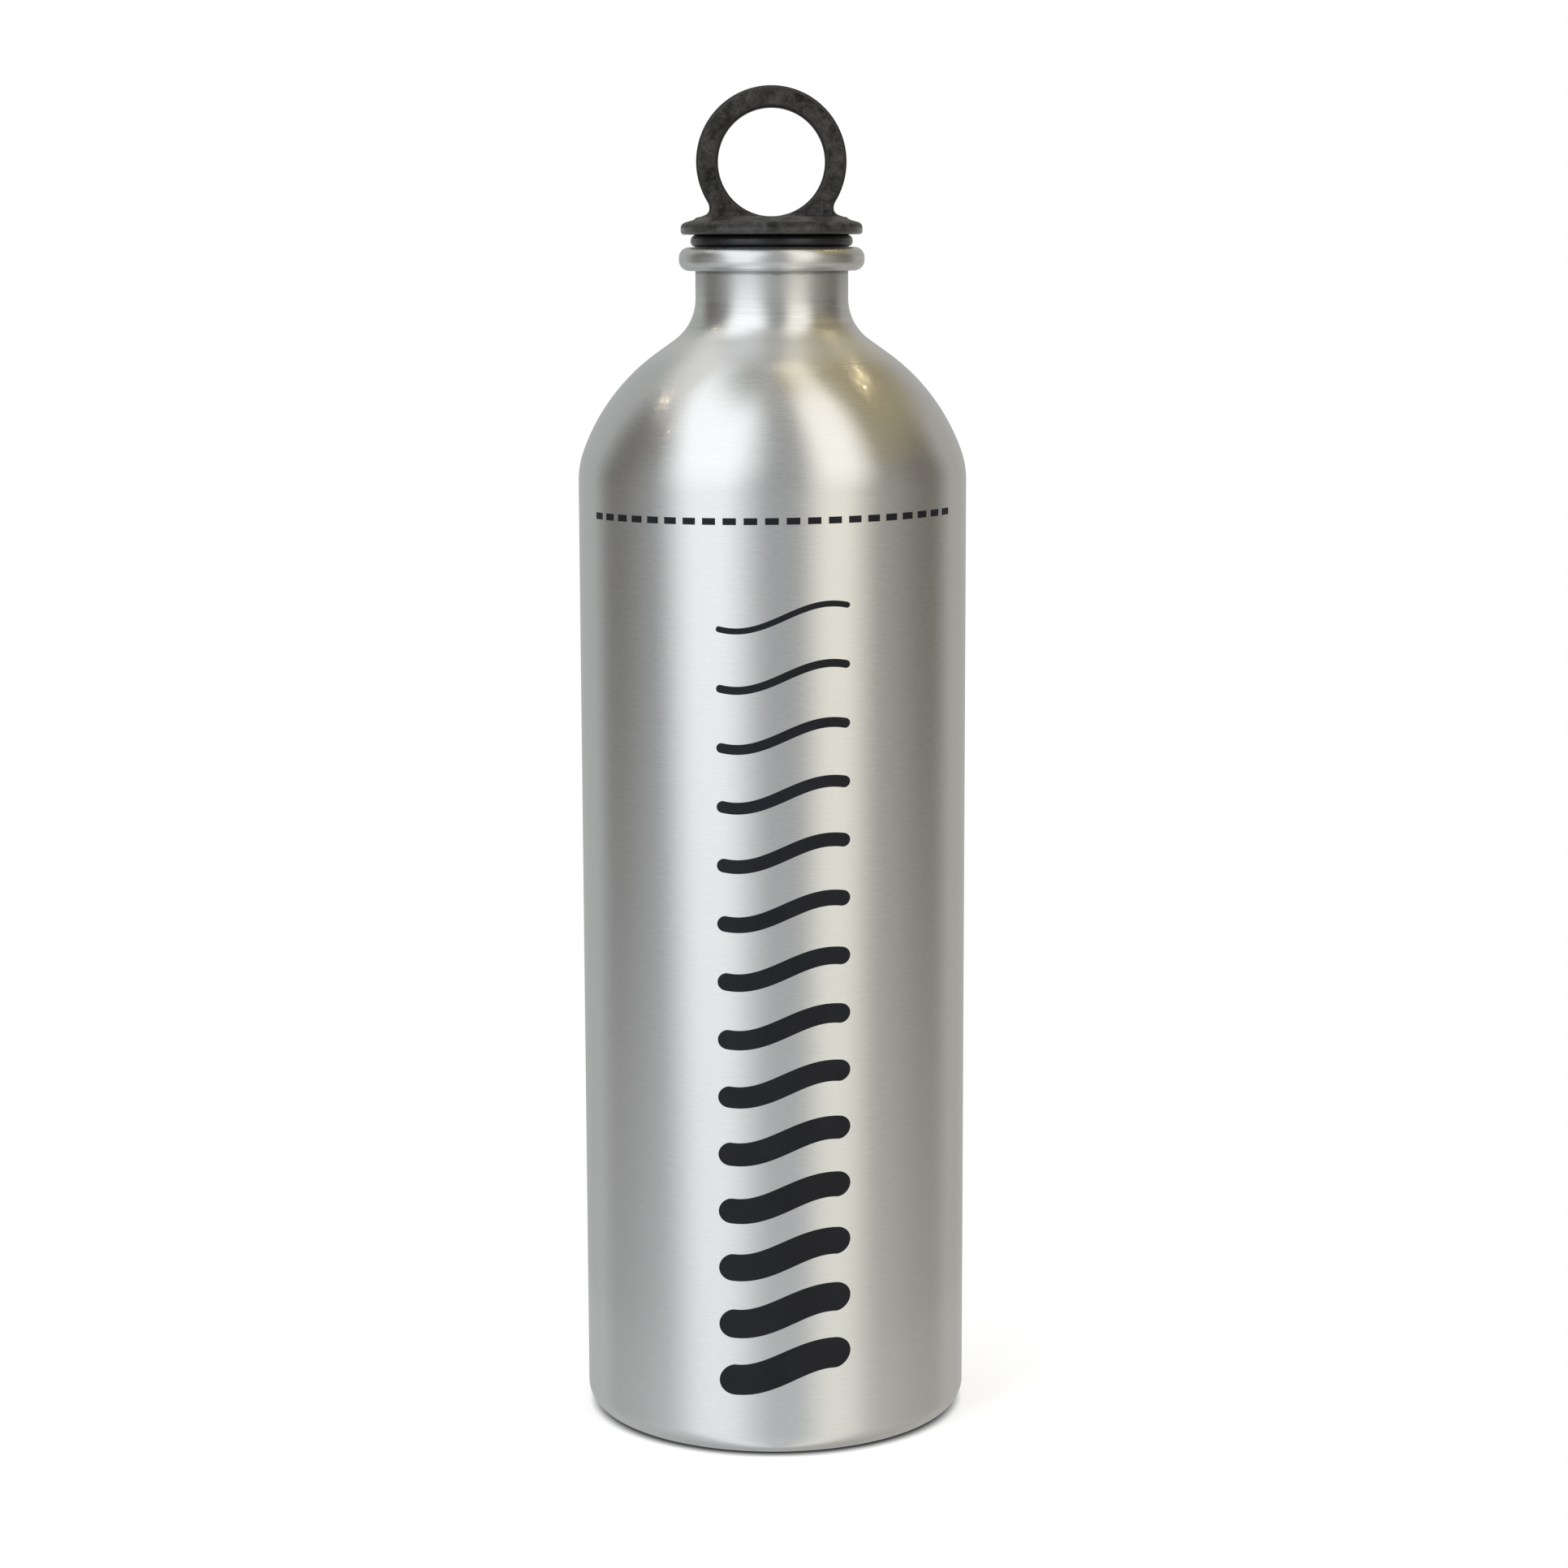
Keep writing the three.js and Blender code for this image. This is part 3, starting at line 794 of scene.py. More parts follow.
def wave_tree():
    """A stack of wavy bars with round ends on the wall, thin at the top and thick at the bottom."""
    sizes = floats("Lowest", "Highest", "Thickest", "Thinnest", "Swing", "Wave length", "Shift")
    nodes, given, end = geometry_tree("Wave bars", {**PRINT_INPUTS, **sizes})

    def kept(geometry, name, value):
        """Geometry whose points carry a value."""
        stored = {"Geometry": geometry, "Name": name, "Value": value}
        return nodes.add("GeometryNodeStoreNamedAttribute", stored)[0]

    def recalled(name):
        """A value that the points carry."""
        return nodes.add("GeometryNodeInputNamedAttribute", {"Name": name}, data_type="FLOAT")[0]

    low = nodes.vector(y=given["Depth centre"], z=given["Lowest"])
    high = nodes.vector(y=given["Depth centre"], z=given["Highest"])
    line = {"Count": given["Count"], "Start Location": low, "Offset": high}
    column = nodes.add("GeometryNodeMeshLine", line, mode="END_POINTS")[0]
    order = nodes.add("GeometryNodeInputIndex")[0]
    last = nodes.less(given["Count"], 1.0)
    thickness = nodes.between(order, given["Thickest"], given["Thinnest"], 0.0, last)
    levels = kept(column, "half", nodes.product(thickness, 0.5))
    levels = kept(levels, "level", nodes.mesh_points()["Z"])
    size = nodes.vector(2.0, given["Depth"], 2.0)
    blank = nodes.add("GeometryNodeMeshCube", {"Size": size, "Vertices X": WAVE_STEPS})[0]
    real = nodes.scattered(levels, kept(blank, "edge", nodes.mesh_points()["Z"]))

    # Each blank is 2 wide and 2 high: its points close up towards the ends, which are then rounded
    spot = nodes.mesh_points()
    reach = nodes.product(given["Width"], 0.5)
    across = nodes.product(nodes.maths("SINE", nodes.product(spot["X"], math.pi / 2)), reach)
    to_end = nodes.less(reach, nodes.maths("ABSOLUTE", across))
    half = recalled("half")
    inset = nodes.flipped(nodes.maths("MINIMUM", nodes.maths("DIVIDE", to_end, half), 1.0))
    round_end = nodes.maths("SQRT", nodes.flipped(nodes.product(inset, inset)))
    out = nodes.product(recalled("edge"), half, round_end)

    # The bar's middle line is a sine, and its edges stand square to that line
    rate = nodes.maths("DIVIDE", 2 * math.pi, given["Wave length"])
    phase = nodes.product(across, rate)
    rise = nodes.product(nodes.maths("SINE", phase), given["Swing"])
    slope = nodes.product(nodes.maths("COSINE", phase), rate, given["Swing"])
    lean = nodes.maths("ARCTANGENT", slope)
    shifted = nodes.maths("ADD", across, given["Shift"])
    x = nodes.less(shifted, nodes.product(out, nodes.maths("SINE", lean)))
    middle = nodes.maths("ADD", recalled("level"), rise)
    z = nodes.maths("MULTIPLY_ADD", out, nodes.maths("COSINE", lean), middle)
    drawn = {"Geometry": real, "Position": nodes.vector(x, spot["Y"], z)}
    waved = nodes.add("GeometryNodeSetPosition", drawn)[0]
    finish_tree(nodes, end, wrapped(nodes, waved, given), given["Finish"])
    return nodes.tree


# Objects


def new_object(name, data):
    """An object at the origin, in the scene."""
    made = bpy.data.objects.new(name, data)
    bpy.context.scene.collection.objects.link(made)
    return made


def tidy_mesh(mesh):
    """Welds a mesh, turns its faces outwards and marks its sharp edges."""
    work = bmesh.new()
    work.from_mesh(mesh)
    bmesh.ops.remove_doubles(work, verts=work.verts, dist=WELD)
    bmesh.ops.recalc_face_normals(work, faces=work.faces)
    if work.calc_volume(signed=True) < 0:
        bmesh.ops.reverse_faces(work, faces=work.faces)
    work.to_mesh(mesh)
    work.free()
    mesh.set_sharp_from_angle(angle=SHARP_EDGE)


def profile_mesh(name, points, closed, inside=None):
    """A line of (radius, height) points, ready to be turned."""
    count = len(points)
    edges = [(i, (i + 1) % count) for i in range(count if closed else count - 1)]
    mesh = bpy.data.meshes.new(name)
    mesh.from_pydata([(r, z, 0) for r, z in points], edges, [])
    coat = mesh.attributes.new("inside", "FLOAT", "POINT")
    coat.data.foreach_set("value", inside or [0.0] * count)
    return mesh


def grow(name, tree, values, mesh=None):
    """Runs a Geometry Nodes tree and keeps its result as a plain mesh."""
    made = new_object(name, mesh or bpy.data.meshes.new(name))
    modifier = made.modifiers.new(tree.name, "NODES")
    modifier.node_group = tree
    for item in tree.interface.items_tree:
        if item.in_out == "INPUT" and item.name in values:
            modifier[item.identifier] = values[item.name]
    depsgraph = bpy.context.evaluated_depsgraph_get()
    plain = bpy.data.meshes.new_from_object(made.evaluated_get(depsgraph))
    made.modifiers.clear()
    made.data = plain
    if not plain.polygons:
        raise RuntimeError(f"{tree.name} made no faces for {name}")
    for index in reversed(range(len(plain.materials))):
        if plain.materials[index] is None:
            plain.materials.pop(index=index)
    tidy_mesh(plain)
    return made


def turn(name, points, closed, finish, coat=None, inside=None):
    """A turned piece."""
    values = {"Around": AROUND, "Outside finish": finish, "Inside finish": coat or finish}
    tree = tree_named("Turned piece", turned_tree)
    return grow(name, tree, values, profile_mesh(name, points, closed, inside))


def mark_flat(mesh, c):
    """Keeps how squarely each point of the cap faces the front or back. The flange counts as nearly square,
    so it takes the dust and a trace of the painted edge highlight.
    """
    turned_to = np.empty(3 * len(mesh.vertices), np.float32)
    spots = np.empty(3 * len(mesh.vertices), np.float32)
    mesh.vertex_normals.foreach_get("vector", turned_to)
    mesh.vertices.foreach_get("co", spots)
    over_flange = (spots[2::3] - RIM_TOP - c.flange_top) / c.face_fillet
    on_flange = np.clip(2 - over_flange, 0, 1) * (spots[2::3] > RIM_TOP + c.flange_bottom + MOULD_CELL)
    flat = mesh.attributes.new("flat", "FLOAT", "POINT")
    flat.data.foreach_set("value", np.maximum(np.abs(turned_to[1::3]), FLANGE_FACING * on_flange))


def settle(piece, body, slot, *nodes):
    """Puts a finished piece on its body, in place of the CAD nodes that it shows."""
    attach(piece, body)
    if nodes:
        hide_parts(*nodes)


# Finishes

GRAIN_SIZES = ("Streak length", "Streak width", "Contrast")
MOTTLE_SIZES = ("Patch size", "Pebble size")
SPECK_SIZES = ("Speck size", "Amount")
FINE_GRAIN = {"Streak length": 2 * MM, "Streak width": 0.13 * MM, "Contrast": 2.2}
BROAD_GRAIN = {"Streak length": 40 * MM, "Streak width": 0.55 * MM, "Contrast": 1.6}
SPUN_GRAIN = {"Streak length": 16 * MM, "Streak width": 0.9 * MM, "Contrast": 2.2}
LACQUER_GRAIN = {"Streak length": 25 * MM, "Streak width": 0.8 * MM, "Contrast": 1.2}
LACQUER_MOTTLE = {"Patch size": 14 * MM, "Pebble size": 0.8 * MM}
SLEEVE_MOTTLE = {"Patch size": 5 * MM, "Pebble size": 0.35 * MM}
CAP_MOTTLE = {"Patch size": 1.9 * MM, "Pebble size": 0.5 * MM}
SEAL_MOTTLE = {"Patch size": 3 * MM, "Pebble size": 0.18 * MM}
INK_MOTTLE = {"Patch size": 6 * MM, "Pebble size": 0.3 * MM}
CAP_SPECKS = {"Speck size": 0.5 * MM, "Amount": 0.08}
SEAL_SPECKS = {"Speck size": 0.4 * MM, "Amount": 0.03}

# Bands of the metal round the neck: the depths under the rim where each begins and where it is full
SPUN_BAND = (20 * MM, 9 * MM)
HAZY_BAND = (9 * MM, 1 * MM)
BARE_BAND = (25 * MM, 15.5 * MM)
# The fillet band is blurred more, and its colour is made lighter as painted light
FILLET_FOOT = (20.5 * MM, 14.5 * MM)
FILLET_HEAD = (14.5 * MM, 10 * MM)
# Painted shade: the neck grows darker over the last 10 mm up to the rolled rim
RIM_SHADE_BAND = (10 * MM, 0)
# Painted shadow: an uneven dark line on the neck just under the rolled rim
CREVICE_SHADOW_BAND = (0.8 * MM, 0.35 * MM)
RIM_BAND = (0.05 * MM, -0.1 * MM)
CREVICE_SHADOW_RIPPLE = 0.7 * MM
RIPPLE_SCALE = 420.0
NECK_BLUR = 0.16
RIM_BLUR_SHARE = 0.35

# Tones of the metal as shares of its colour, and the spread of its blur. The rim's and the crevice's tones
# are painted shade, and the fillet's tone is painted light.
FINE_SHARE, BROAD_SHARE = 0.8, 0.2
BRUSHED_TONES = (0.93, 1.06)
SPUN_TONES = (0.84, 1.1)
RIM_SHADE_TONE = 0.84
FILLET_PAINTED_LIFT = 1.2
CREVICE_SHADOW_TONE = 0.5
BLUR_SPREAD = (0.8, 1.2)

# Dust, a painted edge highlight and gloss on the black pieces
LEAST_DUST = 0.12
FLANGE_FACING = 0.975
# Painted highlight: a pale line on the rounding round each flat face
EDGE_HIGHLIGHT_START = (0.55, 0.8)
EDGE_HIGHLIGHT_END = (0.86, 0.99)
EDGE_HIGHLIGHT_LEVEL = 0.45
LIP_EDGE = 0.3 * MM
LIP_GLOSS = 0.9
SEAL_ROUGHNESS = 0.19


def shader_group(name, inputs, outputs):
    """An empty shader node group."""
    return new_group(name, "ShaderNodeTree", floats(*inputs), floats(*outputs))


def grain_group():
    """Fine streaks that run round the bottle, as brushing leaves them."""
    nodes, given, end = shader_group("Brush grain", GRAIN_SIZES, ["Grain"])
    along = nodes.maths("DIVIDE", 1.0, given["Streak length"])
    across = nodes.maths("DIVIDE", 1.0, given["Streak width"])
    stretch = {0: nodes.object_point(), 1: nodes.vector(along, along, across)}
    spot = nodes.add("ShaderNodeVectorMath", stretch, operation="MULTIPLY")[0]
    centred = nodes.less(nodes.noise(spot, 1.0, Detail=4.0, Roughness=0.65)[0], 0.5)
    streaks = nodes.maths("MULTIPLY_ADD", centred, given["Contrast"], 0.5)
    nodes.feed(end, {"Grain": nodes.add("ShaderNodeClamp", {"Value": streaks})[0]})
    return nodes.tree


def mottle_group():
    """Soft uneven patches with a fine pebble over them, as moulded plastic and rubber have."""
    nodes, given, end = shader_group("Moulded mottle", MOTTLE_SIZES, ["Patches", "Pebble"])
    where = nodes.object_point()
    for size, output, detail in (("Patch size", "Patches", 3.0), ("Pebble size", "Pebble", 2.0)):
        noise = nodes.noise(where, nodes.maths("DIVIDE", 1.0, given[size]), Detail=detail)[0]
        nodes.feed(end, {output: nodes.between(noise, 0.0, 1.0, 0.3, 0.7)})
    return nodes.tree


def dust_group():
    """Small pale specks, thicker in some places than in others."""
    nodes, given, end = shader_group("Dust specks", SPECK_SIZES, ["Specks"])
    where = nodes.object_point()
    scale = nodes.maths("DIVIDE", 1.0, given["Speck size"])
    bend = nodes.noise(where, nodes.product(scale, 2.5))["Color"]
    bending = {0: bend, 1: given["Speck size"], 2: where}
    crooked = nodes.add("ShaderNodeVectorMath", bending, operation="MULTIPLY_ADD")[0]
    cells = nodes.add("ShaderNodeTexVoronoi", {"Vector": crooked, "Scale": scale}, feature="F1")
    chance = nodes.add("ShaderNodeSeparateColor", {"Color": cells["Color"]})
    drift = nodes.noise(where, nodes.product(scale, 0.06), Detail=2.0)[0]
    chosen = nodes.maths("LESS_THAN", chance[0], nodes.product(given["Amount"], drift, 2.0))
    size = nodes.between(chance[1], 0.12, 0.42)
    speck = nodes.ramp(nodes.less(size, cells["Distance"]), 0.0, 0.1)
    nodes.feed(end, {"Specks": nodes.product(speck, chosen)})
    return nodes.tree


def new_material(name):
    """A material with a Principled shader, as (material, nodes, shader)."""
    material = bpy.data.materials.new(name)
    material.use_nodes = True
    tree = material.node_tree
    return material, Nodes(tree), tree.nodes["Principled BSDF"]


def effect(nodes, name, make, values):
    """The outputs of a shared effect that is placed with its own values."""
    return nodes.add("ShaderNodeGroup", values, node_tree=tree_named(name, make))


def brushing(nodes, values):
    """The mask of a brushed grain."""
    return effect(nodes, "Brush grain", grain_group, values)["Grain"]


def mottling(nodes, values):
    """The masks of a moulded surface."""
    return effect(nodes, "Moulded mottle", mottle_group, values)


def shade(base, factor):
    """A colour made lighter or darker."""
    return (*(min(1.0, channel * factor) for channel in base), 1.0)


def varied(nodes, mask, base, low, high):
    """A colour that goes from a darker to a lighter shade of itself with a mask."""
    return nodes.mixed(mask, shade(base, low), shade(base, high))


def bumped(nodes, height, strength, distance):
    """A normal that follows a fine relief."""
    relief = {"Height": height, "Strength": strength, "Distance": distance}
    return nodes.add("ShaderNodeBump", relief)[0]


def height_mask(nodes, start, end, ripple=0.0):
    """A mask that goes from 0 to 1 between two heights, with an uneven edge if wanted."""
    where = nodes.object_point()
    height = nodes.parts(where)["Z"]
    if ripple:
        noise = nodes.noise(where, RIPPLE_SCALE, Detail=2.0)[0]
        height = nodes.maths("MULTIPLY_ADD", nodes.less(noise, 0.5), ripple, height)
    return nodes.ramp(height, start, end)


def brushed_metal(f, name):
    """Satin aluminium, brushed round its axis under a clear coat. The neck is spun and hazier, with painted
    shade under the rim, a painted shadow line in the crevice and a painted lift of light on the fillet.
    """
    material, nodes, shader = new_material(name)
    under_rim = RIM_TOP - settings("bottle_sizes").rim_height

    def band(depths, ripple=0.0):
        """The mask of one band."""
        return height_mask(nodes, under_rim - depths[0], under_rim - depths[1], ripple)

    grain = nodes.product(brushing(nodes, FINE_GRAIN), FINE_SHARE)
    grain = nodes.maths("MULTIPLY_ADD", brushing(nodes, BROAD_GRAIN), BROAD_SHARE, grain)
    fillet = nodes.less(band(FILLET_FOOT), band(FILLET_HEAD))
    on_neck = nodes.flipped(band(RIM_BAND))
    shade_under_rim = nodes.product(band(RIM_SHADE_BAND), on_neck)
    crevice_shadow = nodes.product(band(CREVICE_SHADOW_BAND, CREVICE_SHADOW_RIPPLE), on_neck)
    brushed = varied(nodes, grain, f.metal, *BRUSHED_TONES)
    spun = varied(nodes, brushing(nodes, SPUN_GRAIN), f.metal, *SPUN_TONES)
    tone = nodes.mixed(band(SPUN_BAND), brushed, spun)
    # Painted shade under the rim, painted light on the fillet and a painted shadow line in the crevice go
    # into the tone
    for mask, level in ((shade_under_rim, RIM_SHADE_TONE), (fillet, FILLET_PAINTED_LIFT), (crevice_shadow, CREVICE_SHADOW_TONE)):
        tone = nodes.mixed(mask, tone, shade(f.metal, level))
    rough = nodes.between(grain, *(f.metal_roughness * part for part in BLUR_SPREAD))
    hazy = nodes.product(band(HAZY_BAND), nodes.between(on_neck, RIM_BLUR_SHARE, 1.0))
    for mask in (fillet, hazy):
        rough = nodes.maths("MULTIPLY_ADD", mask, NECK_BLUR, rough)
    look = {
        "Base Color": tone,
        "Roughness": rough,
        "Metallic": 1.0,
        "Anisotropic": 0.6,
        "Anisotropic Rotation": 0.25,
        "Coat Weight": nodes.between(band(BARE_BAND), 0.6, 0.08),
        "Coat Roughness": 0.04,
        "Coat IOR": 1.75,
        "Tangent": nodes.add("ShaderNodeTangent", direction_type="RADIAL", axis="Z")[0],
        "Normal": bumped(nodes, grain, 0.05, 0.04 * MM),
    }
    nodes.feed(shader, look)
    return material


def inside_lacquer(f, name):
    """Thin lacquer over the drawn metal inside."""
    material, nodes, shader = new_material(name)
    mottle = mottling(nodes, LACQUER_MOTTLE)
    look = {
        "Base Color": varied(nodes, mottle["Patches"], f.lacquer, 0.9, 1.06),
        "Roughness": nodes.between(brushing(nodes, LACQUER_GRAIN), 0.32, 0.46),
        "Metallic": 0.85,
        "Coat Weight": 0.25,
        "Coat Roughness": 0.2,
        "Normal": bumped(nodes, mottle["Pebble"], 0.05, 0.05 * MM),
    }
    nodes.feed(shader, look)
    return material


def sleeve_plastic(f, name):
    """Pale plastic, a little cloudy."""
    material, nodes, shader = new_material(name)
    mottle = mottling(nodes, SLEEVE_MOTTLE)
    look = {
        "Base Color": varied(nodes, mottle["Patches"], f.sleeve, 0.94, 1.04),
        "Roughness": nodes.between(mottle["Pebble"], 0.42, 0.56),
        "Normal": bumped(nodes, mottle["Pebble"], 0.08, 0.05 * MM),
    }
    nodes.feed(shader, look)
    return material


def dusty_black(name, base, dust, mottle_sizes, speck_sizes, rough, bump):
    """A black moulded finish: dust makes its flat faces paler in patches, and a painted highlight makes a
    pale line round them.
    """
    material, nodes, shader = new_material(name)
    mottle = mottling(nodes, mottle_sizes)
    specks = effect(nodes, "Dust specks", dust_group, speck_sizes)["Specks"]
    flat = nodes.add("ShaderNodeAttribute", attribute_name="flat")["Fac"]
    face = nodes.maths("MAXIMUM", nodes.maths("POWER", flat, 4.0), LEAST_DUST)
    # Painted highlight on the rounding just off each flat face
    edge_highlight = nodes.less(
        nodes.between(flat, 0.0, 1.0, *EDGE_HIGHLIGHT_START),
        nodes.between(flat, 0.0, 1.0, *EDGE_HIGHLIGHT_END),
    )
    fine = nodes.maths("MULTIPLY_ADD", mottle["Pebble"], 0.6, 0.4)
    patchy = nodes.product(mottle["Patches"], fine, face)
    # Paler with dust on the faces, and with the painted edge highlight
    pale = nodes.maths("MAXIMUM", patchy, nodes.product(edge_highlight, EDGE_HIGHLIGHT_LEVEL))
    tone = nodes.mixed(pale, (*base, 1.0), (*dust, 1.0))
    shine = nodes.between(mottle["Pebble"], rough * 0.8, rough * 1.25)
    look = {
        "Base Color": nodes.mixed(nodes.product(specks, face), tone, shade(dust, 1.3)),
        "Roughness": nodes.maths("MULTIPLY_ADD", specks, 0.25, shine),
        "Normal": bumped(nodes, mottle["Pebble"], bump, 0.06 * MM),
    }
    nodes.feed(shader, look)
    return material, nodes, shader


def cap_plastic(f, name):
    """The cap's dusty matt plastic, smoother along the flange's lower lip."""
    black = dusty_black(name, f.cap, f.dust, CAP_MOTTLE, CAP_SPECKS, f.cap_roughness, 0.12)
    material, nodes, shader = black
    c = settings("bottle_cap")
    low = RIM_TOP + c.flange_bottom
    high = low + 2 * c.flange_lower_round
    over_foot = height_mask(nodes, low - LIP_EDGE, low)
    lip = nodes.less(over_foot, height_mask(nodes, high - LIP_EDGE, high + LIP_EDGE))
    look = {
        "Coat Weight": nodes.between(lip, 0.0, LIP_GLOSS),
        "Coat Roughness": 0.16,
        "Specular IOR Level": 0.25,
    }
    nodes.feed(shader, look)
    return material


def seal_rubber(f, name):
    """The seal's smooth black rubber."""
    black = dusty_black(name, f.seal, f.dust, SEAL_MOTTLE, SEAL_SPECKS, SEAL_ROUGHNESS, 0.05)
    material, nodes, shader = black
    nodes.feed(shader, {"Specular IOR Level": 0.55})
    return material


def printed_ink(f, name):
    """A thin ink film: the brushed grain shows through it."""
    material, nodes, shader = new_material(name)
    grain = brushing(nodes, FINE_GRAIN)
    look = {
        "Base Color": varied(nodes, mottling(nodes, INK_MOTTLE)["Patches"], f.ink, 0.85, 1.3),
        "Roughness": nodes.between(grain, 0.4, 0.55),
        "Specular IOR Level": 0.22,
        "Normal": bumped(nodes, grain, 0.05, 0.04 * MM),
    }
    nodes.feed(shader, look)
    return material


def finish_of(make):
    """A finish that is built only once."""
    name = make.__name__ + "_look"
    return bpy.data.materials.get(name) or make(settings("bottle_finishes"), name)


# Stage

GREY_ROOM = (0.37, 0.37, 0.375, 1.0)
WARM_ROOM = (0.37, 0.36, 0.32, 1.0)
DARK_FLAG = (0.185, 0.18, 0.17, 1.0)
WARM_FLAG = (0.185, 0.171, 0.148, 1.0)
BACK_WALL = (0.435, 0.445, 0.438, 1.0)
WARM_BACK_WALL = (0.425, 0.412, 0.385, 1.0)
GREY_CEILING = (0.405, 0.405, 0.39, 1.0)
WARM_CEILING = (0.43, 0.36, 0.225, 1.0)
WARM_HAZE = (0.36, 0.31, 0.2, 1.0)
CEILING_PANEL = (0.79, 0.785, 0.765, 1.0)
WARM_STREAK = (0.9, 0.84, 0.64, 1.0)
WARM_STREAK_END = (1.25, 1.17, 0.93, 1.0)
COOL_BOX = (1.05, 1.085, 1.09, 1.0)
COOL_BOX_TOP = (1.21, 1.24, 1.25, 1.0)
WARM_BOX = (0.96, 0.93, 0.82, 1.0)
WARM_BOX_TOP = (1.18, 1.14, 1.05, 1.0)
FLOOR_GLOW = (0.735, 0.76, 0.78, 1.0)
WARM_FLOOR_GLOW = (0.66, 0.655, 0.615, 1.0)
FLOOR_GREY = (0.46, 0.46, 0.46, 1.0)
# Painted contact shadow on the floor round the foot
FLOOR_PAINTED_SHADOW = (0.1, 0.1, 0.105, 1.0)
WHITE = (1.0, 1.0, 1.0, 1.0)

# Where the surroundings change: degrees round from the front, from start to end
WARM_SIDE = (10, 60)
BEHIND = (140, 178)
FLAG_SIDE = (58, 104)
BACK_SIDE = (107, 133)
PANEL_SIDE = (30, 80)
LOW_GLOW_SIDE = (100, 150)

# Where the surroundings change: degrees up, from start to end
HAZE_RISE = (20, 44)
CEILING_RISE = (44, 80)
BOX_RISE = (-4, 32)
PANEL_FOOT = (38, 56)
PANEL_HEAD = (60, 78)
STREAK_RISE = (38, 62)
LOW_GLOW_FALL = (2, -22)
LOW_GLOW_SHARE = 0.48

# The light strip overhead, in parts of a unit sphere seen from above
STREAK_SLANT = 0.55
STREAK_MIDDLE = 0.2
STREAK_EDGE = (0.04, 0.17)
STREAK_TO_BACK = (0.0, 0.22)

# Soft boxes: inner and outer edge as (lean, flare, tuck, start, end), and the top as (start, end)
LEFT_BOX = ((-0.12, 2.5e-7, 0.0, -1, 32), (0.1, 2.6e-6, 0.25, 45, 75), (60, 82))
RIGHT_BOX = ((0.08, 0.0, 0.0, 11, 34), (0.25, 5e-7, 0.0, 40, 67), (64, 84))

SURROUND_RADIUS = 2.4
SURROUND_HIDDEN_FROM = ("camera", "diffuse", "transmission", "shadow", "volume_scatter")
# Radii over which the painted contact shadow round the foot gives way to the lit floor
FLOOR_DARK = 36.8 * MM
FLOOR_LIT = 40.3 * MM
FLOOR_FADE = (0.4, 0.98)
FLOOR_LIFT = 0.58
FLOOR_SHEER = 0.95
CAMERA_SENSOR = 36
CAMERA_NEAR = 0.01

# Studio lamps: name, tint, place, width and height
LAMP_AIM = (0, 0, 0.14)
STUDIO_LAMPS = (
    ("key", (0.97, 0.99, 1.0), (-0.9, -1.0, 0.7), 0.7, 1.0),
    ("fill", (1.0, 0.97, 0.92), (1.0, -0.9, 0.55), 0.6, 0.9),
    ("top", (1.0, 1.0, 1.0), (0, 0.1, 1.4), 0.9, 0.9),
)

# Small lamps of the room: degrees round from the front, degrees up and power
ROOM_LAMP_COLOUR = (1.0, 0.84, 0.5)
ROOM_LAMP_CENTRE = (0, 0, 0.215)
ROOM_LAMP_DISTANCE = 1.2
ROOM_LAMP_RADIUS = 0.011
ROOM_LAMPS = (
    (132, 50, 0.105),
    (127, 50, 0.105),
    (117, 53, 0.105),
    (126, 47.5, 0.05),
    (114, 50.5, 0.105),
    (-107, 45, 0.087),
    (-112, 43, 0.087),
    (-82, 39, 0.045),
)


def emptied(tree):
    """The nodes of a tree whose first ones are taken out."""
    tree.nodes.clear()
    return Nodes(tree)


def stage_material(name):
    """A material that lights nothing by itself, as (material, nodes)."""
    material = bpy.data.materials.new(name)
    material.use_nodes = True
    material.cycles.emission_sampling = "NONE"
    return material, emptied(material.node_tree)


def stage_piece(name, material, shape, **sizes):
    """A plain shape for the stage."""
    work = bmesh.new()
    shape(work, **sizes)
    mesh = bpy.data.meshes.new(name)
    work.to_mesh(mesh)
    work.free()
    mesh.materials.append(material)
    return new_object(name, mesh)


def seen_directly(nodes, path):
    """A mask of the rays that see the white background."""
    seen = nodes.maths("MAXIMUM", path["Is Camera Ray"], path["Is Glossy Ray"])
    return nodes.maths("MAXIMUM", seen, path["Is Transmission Ray"])


